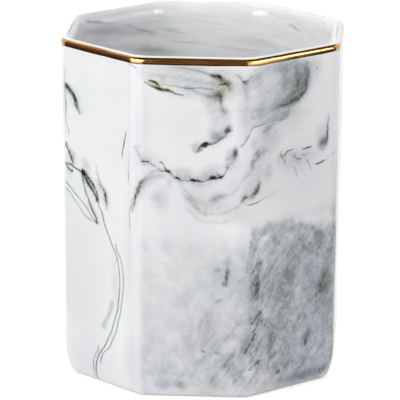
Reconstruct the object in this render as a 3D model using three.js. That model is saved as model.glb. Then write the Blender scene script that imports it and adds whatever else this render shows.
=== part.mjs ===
// A faceted pen holder: an eight-sided ceramic cup, cast and fired in one piece, a little narrower
// at its base than at its rim, with a gilt band fired onto the outer edge of its lip.
// Sizes are millimetres. +Z is up, the origin is the middle of the underside, and the front face
// looks towards -Y.
import * as THREE from "three";

// The fired body
const bodyHeight = 100;
const rimAcrossFlats = 80;
const baseAcrossFlats = 78.1;
const outerCornerRadius = 7;
const innerCornerRadius = 9;
const wallThickness = 3.8;
const wallThickening = 0.8; // added by the time the wall reaches the floor
const floorThickness = 6;
const floorFilletRadius = 8;

// The foot: its edge draws in over a quarter of an ellipse, and its underside is hollowed
const footEdgeInset = 3;
const footEdgeHeight = 9.5;
const footRingWidth = 5;
const footRecessDepth = 1.4;
const footRecessSlope = 1.6;

// The lip
const lipOuterRadius = 1.5;
const lipInnerRadius = 1.8;

// The gilt band, let into the lip's outer edge
const giltHeight = 2.2;
const giltThickness = 0.45;
const giltClearance = 0.05;
const giltTurn = THREE.MathUtils.degToRad(55); // how far it wraps over the lip's outer edge

// How finely the outlines and profiles are stepped
const sideCount = 8;
const cornerSteps = 8;
const footSteps = 9;
const lipSteps = 5;
const filletSteps = 7;

const halfSide = Math.PI / sideCount; // from the middle of a face to its corner, round the axis

// The width across opposite faces of the outside, at a height above the base.
function outerAcrossFlats(z) {
  return THREE.MathUtils.lerp(baseAcrossFlats, rimAcrossFlats, z / bodyHeight);
}

// A level ring with straight faces and round corners, counter-clockwise from above. It is set in
// from the outside of the body by the given distance at its height.
function ring(inset, z, cornerRadius) {
  const cornerReach = (outerAcrossFlats(z) / 2 - inset - cornerRadius) / Math.cos(halfSide);
  const points = [];
  for (let side = 0; side < sideCount; side++) {
    const faceAngle = side * 2 * halfSide;
    const cornerAngle = faceAngle + halfSide;
    for (let step = 0; step <= cornerSteps; step++) {
      const angle = faceAngle + (2 * halfSide * step) / cornerSteps;
      const x = cornerReach * Math.cos(cornerAngle) + cornerRadius * Math.cos(angle);
      const y = cornerReach * Math.sin(cornerAngle) + cornerRadius * Math.sin(angle);
      points.push(new THREE.Vector3(x, y, z));
    }
  }
  return points;
}

// A ring whose corners stay parallel to the outside, as those of an even layer do.
function layerRing(inset, z) {
  return ring(inset, z, outerCornerRadius - inset);
}

// Evenly spaced values from one number to another, both included.
function steps(from, to, count) {
  return Array.from({ length: count + 1 }, (_, i) => THREE.MathUtils.lerp(from, to, i / count));
}

// The underside and the foot's edge, from the middle of the recess out and up to the wall.
function footRings() {
  const mouthInset = footEdgeInset + footRingWidth;
  const recess = [
    ring(mouthInset + footRecessSlope, footRecessDepth, innerCornerRadius),
    ring(mouthInset, 0, innerCornerRadius),
  ];
  const edge = steps(0, Math.PI / 2, footSteps).map((turn) =>
    layerRing(footEdgeInset * (1 - Math.sin(turn)), footEdgeHeight * (1 - Math.cos(turn))));
  return [...recess, ...edge];
}

// A ring on the lip's outer edge, at a depth under the surface. The turn is 0 where the edge
// leaves the wall and a quarter turn at the top of the lip.
function lipEdgeRing(depth, turn) {
  const radius = lipOuterRadius - depth;
  const inset = lipOuterRadius - radius * Math.cos(turn);
  return layerRing(inset, bodyHeight - lipOuterRadius + radius * Math.sin(turn));
}

// The lip: the rebate for the gilt band, then the bare crown, then the inner edge.
function lipRings() {
  const ledge = bodyHeight - giltHeight;
  const depth = giltThickness + giltClearance;
  const clearTurn = giltTurn + giltClearance / (lipOuterRadius - giltThickness);
  const rebate = [
    layerRing(0, ledge),
    layerRing(depth, ledge),
    ...steps(0, clearTurn, lipSteps).map((turn) => lipEdgeRing(depth, turn)),
  ];
  const crown = steps(clearTurn, Math.PI / 2, lipSteps).map((turn) => lipEdgeRing(0, turn));
  const innerEdge = steps(Math.PI / 2, 0, lipSteps).map((turn) => {
    const inset = wallThickness - lipInnerRadius * (1 - Math.cos(turn));
    return ring(inset, bodyHeight - lipInnerRadius * (1 - Math.sin(turn)), innerCornerRadius);
  });
  return [...rebate, ...crown, ...innerEdge];
}

// The inside below the lip: the wall, which thickens as it goes down, and the fillet to the floor.
function insideRings() {
  const filletTop = floorThickness + floorFilletRadius;
  const footInset = wallThickness + wallThickening;
  return steps(0, Math.PI / 2, filletSteps).map((turn) => {
    const inset = footInset + floorFilletRadius * (1 - Math.cos(turn));
    return ring(inset, filletTop - floorFilletRadius * Math.sin(turn), innerCornerRadius);
  });
}

// Triangles between neighbouring rings. A closed run of rings also joins its last to its first.
function skin(rings, closed) {
  const around = rings[0].length;
  const bands = closed ? rings.length : rings.length - 1;
  const triangles = [];
  for (let band = 0; band < bands; band++) {
    const here = band * around;
    const next = ((band + 1) % rings.length) * around;
    for (let i = 0; i < around; i++) {
      const j = (i + 1) % around;
      triangles.push(here + i, here + j, next + j, here + i, next + j, next + i);
    }
  }
  return triangles;
}

// A solid whose skin runs from a point on the axis, through the rings, to another on the axis.
function cappedSolid(rings) {
  const around = rings[0].length;
  const first = rings[0];
  const last = rings.at(-1);
  const bottomCentre = rings.length * around;
  const topCentre = bottomCentre + 1;
  const lastStart = bottomCentre - around;
  const triangles = skin(rings, false);
  for (let i = 0; i < around; i++) {
    const j = (i + 1) % around;
    triangles.push(bottomCentre, j, i);
    triangles.push(topCentre, lastStart + i, lastStart + j);
  }
  const centres = [first, last].map((level) => new THREE.Vector3(0, 0, level[0].z));
  return geometryOf([...rings.flat(), ...centres], triangles);
}

function geometryOf(points, triangles) {
  const geometry = new THREE.BufferGeometry().setFromPoints(points);
  geometry.setIndex(triangles);
  geometry.computeVertexNormals();
  return geometry;
}

// The cup: foot, wall, lip and inside are one fired piece.
function cupBody() {
  const rings = [...footRings(), ...lipRings(), ...insideRings()];
  const glaze = new THREE.MeshStandardMaterial({ color: 0xe9e9ec, roughness: 0.14, metalness: 0 });
  return named("cup_body", cappedSolid(rings), glaze);
}

// The gilt band: up the outside and over the lip's edge, then back down inside its rebate.
function giltRim() {
  const ledge = bodyHeight - giltHeight;
  const rings = [
    layerRing(0, ledge),
    ...steps(0, giltTurn, lipSteps).map((turn) => lipEdgeRing(0, turn)),
    ...steps(giltTurn, 0, lipSteps).map((turn) => lipEdgeRing(giltThickness, turn)),
    layerRing(giltThickness, ledge),
  ];
  const gilding = new THREE.MeshStandardMaterial({ color: 0xb98336, roughness: 0.2, metalness: 1 });
  return named("gilt_rim", geometryOf(rings.flat(), skin(rings, true)), gilding);
}

function named(name, geometry, material) {
  const mesh = new THREE.Mesh(geometry, material);
  mesh.name = name;
  return mesh;
}

const penHolder = new THREE.Group();
penHolder.add(cupBody(), giltRim());

export default penHolder;
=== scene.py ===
"""An eight-sided ceramic pen cup: marbled glaze, gilded lip, bare clay foot, in a plain studio.

The pieces' sizes are millimetres and turn into metres where a mesh is made. The cup stands on the
origin with +Z up, and its front face looks towards -Y. The marbling is drawn on the wall as if it
were rolled out flat: millimetres round from the middle of the front face, and up.
"""
from __future__ import annotations

import logging
import math
from dataclasses import dataclass, field
from enum import Enum
from typing import Any, Iterable, Sequence, Union

import bpy
from mathutils import Matrix, Vector, noise

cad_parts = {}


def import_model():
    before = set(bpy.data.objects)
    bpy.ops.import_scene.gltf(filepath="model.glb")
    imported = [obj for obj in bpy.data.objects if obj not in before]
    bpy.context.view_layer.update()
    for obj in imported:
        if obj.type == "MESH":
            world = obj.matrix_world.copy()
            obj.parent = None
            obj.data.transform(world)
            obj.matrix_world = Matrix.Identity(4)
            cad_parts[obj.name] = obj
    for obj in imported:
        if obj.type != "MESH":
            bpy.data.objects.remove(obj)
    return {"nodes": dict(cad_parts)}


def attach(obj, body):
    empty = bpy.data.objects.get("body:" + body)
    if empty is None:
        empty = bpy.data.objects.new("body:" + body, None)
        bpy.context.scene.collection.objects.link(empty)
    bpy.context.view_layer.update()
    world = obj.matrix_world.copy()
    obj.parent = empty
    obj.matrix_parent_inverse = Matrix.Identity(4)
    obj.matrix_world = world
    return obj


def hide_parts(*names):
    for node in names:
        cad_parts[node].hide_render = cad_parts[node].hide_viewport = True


log = logging.getLogger("pen_cup")

MM = 0.001
SIDES = 8
HALF_SIDE = math.pi / SIDES  # from the middle of a face to its corner, round the axis
CUP_HEIGHT = 100.0  # mm
RIM_WIDTH = 80.0  # across opposite faces, mm
FACE_PITCH = RIM_WIDTH * math.tan(HALF_SIDE)  # width of one face, mm, on the unrolled wall

Tone = tuple[float, float, float, float]
Place = tuple[float, float]
Triple = tuple[float, float, float]
Rings = list[list[Vector]]
Tree = bpy.types.NodeTree
Socket = bpy.types.NodeSocket
Value = Union[bpy.types.NodeSocket, float, tuple[float, ...]]  # another node's output, or plain


def tone(red: int, green: int, blue: int) -> Tone:
    """A colour as a screen gives it, 0 to 255, turned into the linear one that a material takes.

    Args:
        red: The red part.
        green: The green part.
        blue: The blue part.

    Returns:
        The linear colour with full alpha.
    """
    def linear(part: int) -> float:
        """One part of the colour, linear."""
        value = part / 255
        return value / 12.92 if value <= 0.04045 else ((value + 0.055) / 1.055) ** 2.4

    return (linear(red), linear(green), linear(blue), 1.0)


def grey(level: float) -> Tone:
    """A neutral linear colour with full alpha."""
    return (level, level, level, 1.0)


def steps(start: float, end: float, count: int) -> list[float]:
    """Evenly spaced values from start to end, both included."""
    return [start + (end - start) * i / count for i in range(count + 1)]


def mesh_of(name: str, points: Sequence[Any], faces: Sequence[tuple[int, ...]]) -> bpy.types.Mesh:
    """A mesh of points in metres and faces that number them."""
    mesh = bpy.data.meshes.new(name)
    mesh.from_pydata(points, [], faces)
    return mesh


def put_in_scene(data: bpy.types.ID) -> bpy.types.Object:
    """An object of a mesh, a lamp or a camera, with its name, linked to the scene."""
    thing = bpy.data.objects.new(data.name, data)
    bpy.context.scene.collection.objects.link(thing)
    return thing


# The form that all the pieces follow


@dataclass(frozen=True)
class CupForm:
    """The eight-sided form of the cup, in millimetres."""

    height: float = CUP_HEIGHT
    rim_width: float = RIM_WIDTH
    base_width: float = 78.1
    outer_corner: float = 7.0
    inner_corner: float = 9.0
    wall: float = 3.8
    wall_gain: float = 0.8  # what the wall has gained where it meets the fillet
    floor: float = 6.0
    fillet: float = 8.0
    foot_inset: float = 3.0
    foot_height: float = 9.5
    foot_ring_width: float = 5.0
    recess_depth: float = 1.4
    recess_slope: float = 1.6
    bare_height: float = 0.35  # the clay below this is left unglazed
    lip_outer: float = 1.5
    lip_inner: float = 2.3  # across the wall
    lip_inner_drop: float = 4.5  # down the wall
    corner_steps: int = 14
    flat_steps: int = 7
    hand_sway: float = 0.09  # how far the cast wall wanders from true
    sway_length: float = 38.0

    def half_width(self, z: float) -> float:
        """Half the width across the flats at a height."""
        return (self.base_width + (self.rim_width - self.base_width) * z / self.height) / 2

    @property
    def around(self) -> int:
        """How many points a ring has."""
        return SIDES * (self.corner_steps + self.flat_steps)

    @property
    def mouth(self) -> float:
        """How far in from the outside the hollow under the foot starts."""
        return self.foot_inset + self.foot_ring_width

    def point(self, index: int, inset: float, z: float, corner: float) -> Vector:
        """One point of a level ring with straight faces and round corners.

        Args:
            index: Its number, counter-clockwise from the middle of the face towards +X.
            inset: How far the ring is set in from the outside.
            z: The ring's height.
            corner: The radius of the ring's corners.

        Returns:
            The point, in millimetres, moved a little as on a cast wall that isn't quite true.
        """
        reach = (self.half_width(z) - inset - corner) / math.cos(HALF_SIDE)
        side, step = divmod(index, self.corner_steps + self.flat_steps)
        if step <= self.corner_steps:
            point = self._corner_point(side, step / self.corner_steps, reach, corner, z)
        else:
            start = self._corner_point(side, 1.0, reach, corner, z)
            end = self._corner_point(side + 1, 0.0, reach, corner, z)
            point = start.lerp(end, (step - self.corner_steps) / self.flat_steps)
        outward = Vector((point.x, point.y, 0)).normalized()
        return point + outward * noise.noise(point / self.sway_length) * self.hand_sway

    def ring(self, inset: float, z: float, corner: float) -> list[Vector]:
        """A whole level ring, counter-clockwise from above."""
        return [self.point(i, inset, z, corner) for i in range(self.around)]

    def layer_ring(self, inset: float, z: float) -> list[Vector]:
        """A ring whose corners stay parallel to the outside."""
        return self.ring(inset, z, self.outer_corner - inset)

    def foot_turn(self, z: float) -> float:
        """How far round the foot's edge a height is, from 0 on the ground to a quarter turn."""
        return math.acos(1 - z / self.foot_height)

    def foot_place(self, turn: float) -> Place:
        """The inset and height on the foot's rounded edge, at that turn."""
        return self.foot_inset * (1 - math.sin(turn)), self.foot_height * (1 - math.cos(turn))

    def edge_place(self, proud: float, turn: float) -> Place:
        """The inset and height on the lip's outer edge, that far proud of it, at that turn."""
        radius = self.lip_outer + proud
        inset = self.lip_outer - radius * math.cos(turn)
        return inset, self.height - self.lip_outer + radius * math.sin(turn)

    def _corner_point(
        self, side: int, share: float, reach: float, corner: float, z: float
    ) -> Vector:
        """The point at a share of the way round one rounded corner."""
        middle = (2 * side + 1) * HALF_SIDE
        angle = (side + share) * 2 * HALF_SIDE
        x = reach * math.cos(middle) + corner * math.cos(angle)
        y = reach * math.sin(middle) + corner * math.sin(angle)
        return Vector((x, y, z))


@dataclass
class Loft:
    """Rings of points joined into one closed skin."""

    name: str
    rings: Rings
    closed_section: bool = False
    slots: list[int] = field(default_factory=list)  # a material's number for each band

    def build(self) -> bpy.types.Object:
        """Makes the mesh and its object.

        Returns:
            The new object, linked to the scene.
        """
        around = len(self.rings[0])
        count = len(self.rings)
        bands = count if self.closed_section else count - 1
        slots = self.slots or [0] * bands
        faces: list[tuple[int, ...]] = []
        numbers: list[int] = []
        for band in range(bands):
            here, there = band * around, (band + 1) % count * around
            for i in range(around):
                j = (i + 1) % around
                faces.append((here + i, here + j, there + j, there + i))
                numbers.append(slots[band])
        points = [point * MM for ring in self.rings for point in ring]
        if not self.closed_section:
            points += [Vector((0, 0, ring[0].z * MM)) for ring in (self.rings[0], self.rings[-1])]
            last = (count - 1) * around
            for i in range(around):
                j = (i + 1) % around
                faces += [(count * around, j, i), (count * around + 1, last + i, last + j)]
                numbers += [slots[0], slots[-1]]
        mesh = mesh_of(self.name, points, faces)
        mesh.polygons.foreach_set("material_index", numbers)
        mesh.polygons.foreach_set("use_smooth", [True] * len(faces))
        mesh.update()
        return put_in_scene(mesh)


# Node work

SOCKET_KINDS = {  # of the groups' sockets that aren't single values, by name
    "Position": "Vector",
    "Place": "Vector",
    "Centre": "Vector",
    "Radii": "Vector",
    "Color": "Color",
}


NOISE_MIDDLE = 0.5


class Lumps(Enum):
    """The kinds of noise: lumps to the millimetre, detail and roughness."""

    SLOW_BEND = (0.22, 1.0, 0.5)
    QUICK_SHIVER = (0.7, 4.0, 0.7)
    HAIRS = (1.2, 4.0, 0.75)
    TINT_DRIFT = (0.045, 2.0, 0.5)
    SKIN_RIPPLE = (0.13, 1.0, 0.5)
    SKIN_GRAIN = (2.2, 2.0, 0.6)
    GLOSS_PATCHES = (0.35, 3.0, 0.6)
    GLAZE_GRAIN = (0.9, 3.0, 0.7)
    COMBED = (1.0, 2.0, 0.7)
    WIPED = (1.0, 4.0, 0.66)
    CLOUD_EDGE = (0.25, 3.0, 0.5)
    MOTTLE = (0.2, 5.0, 0.72)
    CLOUD_FLECKS = (0.75, 4.0, 0.75)
    CLOUD_DAPPLE = (0.55, 3.0, 0.7)
    BACK_BEND = (0.028, 3.0, 0.55)
    BACK_FLOW = (0.026, 2.5, 0.5)
    BACK_PLACES = (0.045, 2.0, 0.5)
    BACK_FOG = (0.017, 2.0, 0.5)
    LAYERS = (1.0, 4.0, 0.62)
    FINE_LAYERS = (3.2, 3.0, 0.6)
    FINEST_LAYERS = (8.0, 2.0, 0.6)
    GOLD_STROKES = (0.35, 3.0, 0.6)
    CLAY_SPECKLE = (1.6, 3.0, 0.7)
    CLAY_WEAR = (0.12, 3.0, 0.5)


@dataclass(frozen=True)
class Ease:
    """A way to read a value that lies between two others.

    The result is start where the value is low, and end where it is high. It eases in and out at
    both ends, unless soft is False. Low may be the larger of the two.
    """

    low: float
    high: float
    start: float = 0.0
    end: float = 1.0
    soft: bool = True


class Graph:
    """One node tree, with a short call for each kind of node that the finishes use."""

    def __init__(self, tree: Tree) -> None:
        """Takes the tree to add nodes to."""
        self.tree = tree

    def feed(self, socket: Socket, value: Value) -> None:
        """Links an input to another node's output, or writes a plain value into it."""
        if isinstance(value, bpy.types.NodeSocket):
            self.tree.links.new(value, socket)
        else:
            socket.default_value = value

    def node(
        self, kind: str, inputs: dict[Any, Value] | None = None, **settings: Any
    ) -> bpy.types.Node:
        """Adds a node.

        Args:
            kind: The node's type name.
            inputs: A value or another node's output for each of its inputs.
            settings: The node's own properties.

        Returns:
            The new node.
        """
        made = self.tree.nodes.new(kind)
        for name, value in settings.items():
            setattr(made, name, value)
        for key, value in (inputs or {}).items():
            self.feed(made.inputs[key], value)
        return made

    def math(self, operation: str, *values: Value, clamp: bool = False) -> Socket:
        """A Math node's result."""
        inputs = dict(enumerate(values))
        made = self.node("ShaderNodeMath", inputs, operation=operation, use_clamp=clamp)
        return made.outputs[0]

    def times(self, first: Value, *others: Value) -> Socket:
        """The product of two values or more, multiplied one after another."""
        for other in others:
            first = self.math("MULTIPLY", first, other)
        return first

    def plus(self, first: Value, second: Value) -> Socket:
        """The sum of two values."""
        return self.math("ADD", first, second)

    def minus(self, first: Value, second: Value) -> Socket:
        """The first value less the second."""
        return self.math("SUBTRACT", first, second)

    def line(self, value: Value, slope: Value, start: Value) -> Socket:
        """The value times a slope, plus a start."""
        return self.math("MULTIPLY_ADD", value, slope, start)

    def total(self, values: Iterable[Value]) -> Socket:
        """The sum of several values, each added as soon as it is made."""
        coming = iter(values)
        result = next(coming)
        for value in coming:
            result = self.plus(result, value)
        return result

    def vector(self, operation: str, *values: Value) -> Socket:
        """A Vector Math node's vector, or its value where it has only one."""
        made = self.node("ShaderNodeVectorMath", dict(enumerate(values)), operation=operation)
        return made.outputs["Value" if operation in ("LENGTH", "DISTANCE") else "Vector"]

    def millimetres(self, place: Value) -> Socket:
        """A place given in metres, in millimetres."""
        scaled = self.node("ShaderNodeVectorMath", {0: place, "Scale": 1 / MM}, operation="SCALE")
        return scaled.outputs["Vector"]

    def turned(self, place: Value, angle: Value, centre: Value = (0.0, 0.0, 0.0)) -> Socket:
        """A place turned about the Z axis, round a centre."""
        inputs = {"Vector": place, "Center": centre, "Angle": angle}
        return self.node("ShaderNodeVectorRotate", inputs, rotation_type="Z_AXIS").outputs[0]

    def ease(self, value: Value, ease: Ease) -> Socket:
        """Reads a value in the given way.

        Args:
            value: The value.
            ease: How it is read.

        Returns:
            The result.
        """
        kind = "SMOOTHSTEP" if ease.soft else "LINEAR"
        inputs = {0: value, 1: ease.low, 2: ease.high, 3: ease.start, 4: ease.end}
        made = self.node("ShaderNodeMapRange", inputs, interpolation_type=kind)
        made.clamp = not ease.soft
        return made.outputs[0]

    def noise(self, place: Value, lumps: Lumps, output: str = "Fac") -> Socket:
        """A noise texture's value or colour at a place in millimetres.

        Args:
            place: The place.
            lumps: The kind of noise.
            output: Fac for a value, Color for three.

        Returns:
            The noise.
        """
        scale, detail, rough = lumps.value
        inputs = {"Vector": place, "Scale": scale, "Detail": detail, "Roughness": rough}
        return self.node("ShaderNodeTexNoise", inputs).outputs[output]

    def xyz(self, x: Value = 0.0, y: Value = 0.0, z: Value = 0.0) -> Socket:
        """Three values as one vector."""
        return self.node("ShaderNodeCombineXYZ", {0: x, 1: y, 2: z}).outputs[0]

    def parts(self, vector: Value) -> list[Socket]:
        """A vector's three values."""
        return list(self.node("ShaderNodeSeparateXYZ", {0: vector}).outputs)

    def mix(self, share: Value, first: Value, second: Value, blend: str = "MIX") -> Socket:
        """Two colours mixed, with a share of the second."""
        made = self.node("ShaderNodeMix", data_type="RGBA", blend_type=blend)
        for key, value in ((0, share), (6, first), (7, second)):
            self.feed(made.inputs[key], value)
        return made.outputs[2]

    def ramp(self, value: Value, stops: Sequence[tuple[float, Tone]]) -> Socket:
        """The colour for a value, between stops that are each a place and a colour."""
        made = self.node("ShaderNodeValToRGB", {0: value})
        elements = made.color_ramp.elements
        while len(elements) < len(stops):
            elements.new(1.0)
        for element, (place, colour) in zip(elements, stops):
            element.position = place
            element.color = colour
        return made.outputs[0]

    def seen(self) -> Socket:
        """1 where the camera, gloss or glass looks, and 0 for light that falls on things."""
        path = self.node("ShaderNodeLightPath").outputs
        rays = (path["Is Camera Ray"], path["Is Glossy Ray"], path["Is Transmission Ray"])
        return self.math("MINIMUM", self.total(rays), 1.0)

    def surface(self, shader: bpy.types.Node) -> None:
        """Shows a shader on the material's surface."""
        self.feed(self.tree.nodes["Material Output"].inputs["Surface"], shader.outputs[0])

    def use(self, tree: Tree, **inputs: Value) -> list[Socket]:
        """Places a node group.

        Args:
            tree: The group.
            inputs: Its inputs by name, with _ for a space.

        Returns:
            Its outputs.
        """
        made = self.node("ShaderNodeGroup", node_tree=tree)
        for name, value in inputs.items():
            self.feed(made.inputs[name.replace("_", " ").capitalize()], value)
        return list(made.outputs)


def new_material(name: str) -> tuple[bpy.types.Material, Graph]:
    """A new material, and the graph of its nodes."""
    material = bpy.data.materials.new(name)
    material.use_nodes = True
    return material, Graph(material.node_tree)


class GroupMaker:
    """The start of a node group: its named sockets and the graph inside it."""

    def __init__(self, name: str, inputs: Sequence[str], outputs: Sequence[str]) -> None:
        """Makes the group.

        Args:
            name: The group's name.
            inputs: Its inputs' names. SOCKET_KINDS tells the kinds of those that aren't values.
            outputs: Its outputs' names.
        """
        self.tree = bpy.data.node_groups.new(name, "ShaderNodeTree")
        for labels, way in ((inputs, "INPUT"), (outputs, "OUTPUT")):
            for label in labels:
                kind = SOCKET_KINDS.get(label, "Float")
                self.tree.interface.new_socket(label, in_out=way, socket_type=f"NodeSocket{kind}")
        self.graph = Graph(self.tree)
        self.inputs = list(self.graph.node("NodeGroupInput").outputs)[: len(inputs)]
        self.result = self.graph.node("NodeGroupOutput").inputs

    def out(self, name: str, value: Value) -> None:
        """Joins a value to one of the outputs."""
        self.graph.feed(self.result[name], value)


class Effects:
    """The node groups that more than one finish uses, each built once."""

    def __init__(self) -> None:
        """Builds all the groups."""
        self.unrolled = self._unrolled()
        self.wander = self._wander()
        self.vein = self._vein()
        self.feather = self._feather()
        self.bristles = self._bristles()
        self.wash = self._wash()
        self.glaze_colour = self._glaze_colour()
        self.fired_skin = self._fired_skin()

    def _unrolled(self) -> Tree:
        """The place on the wall, rolled out flat: millimetres round from the front, and up."""
        made = GroupMaker("unrolled wall", ("Position",), ("Around", "Height"))
        g = made.graph
        x, y, z = g.parts(made.inputs[0])
        angle = g.math("ARCTAN2", x, g.times(y, -1.0))
        side = g.math("ROUND", g.math("DIVIDE", angle, 2 * HALF_SIDE))
        left = g.minus(angle, g.times(side, 2 * HALF_SIDE))
        across = g.math("DIVIDE", g.math("TANGENT", left), 2 * math.tan(HALF_SIDE))
        made.out("Around", g.times(g.plus(side, across), FACE_PITCH))
        made.out("Height", g.times(z, 1 / MM))
        return made.tree

    def _wander(self) -> Tree:
        """Shifts a place on the unrolled wall as wet glaze does, in slow bends and fine shivers."""
        inputs = ("Position", "Around", "Height", "Bend", "Shiver")
        made = GroupMaker("glaze wander", inputs, ("Around", "Height"))
        g = made.graph
        position, around, height, bend, shiver = made.inputs
        place = g.millimetres(position)
        slow = g.parts(g.noise(place, Lumps.SLOW_BEND, "Color"))
        quick = g.parts(g.noise(place, Lumps.QUICK_SHIVER, "Color"))
        for i, (name, start) in enumerate((("Around", around), ("Height", height))):
            slow_shift = g.times(g.minus(slow[i], NOISE_MIDDLE), bend)
            quick_shift = g.times(g.minus(quick[i], NOISE_MIDDLE), shiver)
            made.out(name, g.total((start, slow_shift, quick_shift)))
        return made.tree

    def _vein(self) -> Tree:
        """The ink of a vein's line: dark in the middle, soft at both edges, with a faint halo."""
        made = GroupMaker("vein line", ("Offset", "Weight", "Width", "Ink", "Halo"), ("Ink",))
        g = made.graph
        offset, weight, width, ink, halo = made.inputs
        breadth = g.times(width, g.line(weight, 0.6, 0.4))  # the weak parts are thinner
        line, glow = (
            g.math("EXPONENT", g.times(g.math("POWER", g.math("DIVIDE", offset, reach), 2.0), -1.0))
            for reach in (breadth, g.line(breadth, 2.4, 0.4))
        )
        made.out("Ink", g.times(g.line(glow, halo, line), g.times(weight, ink)))
        return made.tree

    def _feather(self) -> Tree:
        """The ink that bleeds to one side of a vein and thins out."""
        made = GroupMaker("vein bleed", ("Offset", "Weight", "Reach", "Ink"), ("Ink",))
        g = made.graph
        offset, weight, reach, ink = made.inputs
        share = g.math("DIVIDE", offset, reach)
        fall = g.math("EXPONENT", g.times(g.math("MAXIMUM", share, -1.0), -1.6))
        fall = g.times(fall, g.ease(share, Ease(2.0, 0.6)))
        made.out("Ink", g.times(fall, g.ease(share, Ease(-0.08, 0.1)), g.times(weight, ink)))
        return made.tree

    def _bristles(self) -> Tree:
        """Fine short hairs of ink that stand up from one side of a vein."""
        made = GroupMaker("vein bristles", ("Offset", "Along", "Weight", "Reach", "Ink"), ("Ink",))
        g = made.graph
        offset, along, weight, reach, ink = made.inputs
        share = g.math("DIVIDE", offset, reach)
        leaning = g.line(offset, 0.55, along)
        hairs = g.noise(g.xyz(leaning, g.times(offset, 0.3)), Lumps.HAIRS)
        standing = g.ease(g.line(share, -0.16, hairs), Ease(0.45, 0.6))
        fall = g.times(g.ease(share, Ease(1.1, 0.0)), g.ease(share, Ease(-0.06, 0.1)))
        made.out("Ink", g.times(fall, standing, g.times(weight, ink)))
        return made.tree

    def _wash(self) -> Tree:
        """A soft-edged patch of ink, an oval turned to its own angle."""
        made = GroupMaker("wash", ("Place", "Centre", "Turn", "Radii", "Ink"), ("Ink",))
        g = made.graph
        place, centre, turn, radii, ink = made.inputs
        turned = g.turned(place, turn, centre)
        from_centre = g.vector("DIVIDE", g.vector("SUBTRACT", turned, centre), radii)
        made.out("Ink", g.times(g.ease(g.vector("LENGTH", from_centre), Ease(1.25, 0.1)), ink))
        return made.tree

    def _glaze_colour(self) -> Tree:
        """The glaze's colour for an amount of ink, with faint lilac, sea-green and cream tints."""
        made = GroupMaker("glaze colour", ("Position", "Ink"), ("Color",))
        g = made.graph
        position, ink = made.inputs
        colour = g.ramp(
            ink,
            [
                (0.0, tone(236, 236, 237)),
                (0.12, tone(220, 220, 223)),
                (0.3, tone(190, 192, 197)),
                (0.5, tone(152, 156, 160)),
                (0.72, tone(104, 108, 107)),
                (0.9, tone(62, 64, 58)),
                (1.0, tone(42, 43, 38)),
            ],
        )
        hue = g.ramp(
            g.noise(g.millimetres(position), Lumps.TINT_DRIFT),
            [
                (0.34, tone(253, 253, 255)),
                (0.47, tone(255, 255, 255)),
                (0.56, tone(255, 255, 253)),
                (0.68, tone(250, 254, 252)),
            ],
        )
        made.out("Color", g.mix(1.0, colour, hue, "MULTIPLY"))
        return made.tree

    def _fired_skin(self) -> Tree:
        """The surface of something fired: a slow ripple, a fine grain and uneven gloss."""
        inputs = ("Position", "Ripple", "Grain", "Gloss", "Change")
        made = GroupMaker("fired skin", inputs, ("Height", "Roughness"))
        g = made.graph
        position, ripple, grain, gloss, change = made.inputs
        place = g.millimetres(position)
        slow = g.noise(place, Lumps.SKIN_RIPPLE)
        fine = g.noise(place, Lumps.SKIN_GRAIN)
        made.out("Height", g.plus(g.times(slow, ripple), g.times(fine, grain)))
        uneven = g.times(g.minus(g.noise(place, Lumps.GLOSS_PATCHES), NOISE_MIDDLE), change)
        made.out("Roughness", g.math("ADD", gloss, uneven, clamp=True))
        return made.tree


# The marbling, as it lies on the unrolled wall


class Course(Enum):
    """Which way a vein mostly runs, and so which of its coordinates drives the other."""

    DOWN = "down"
    ACROSS = "across"


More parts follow.
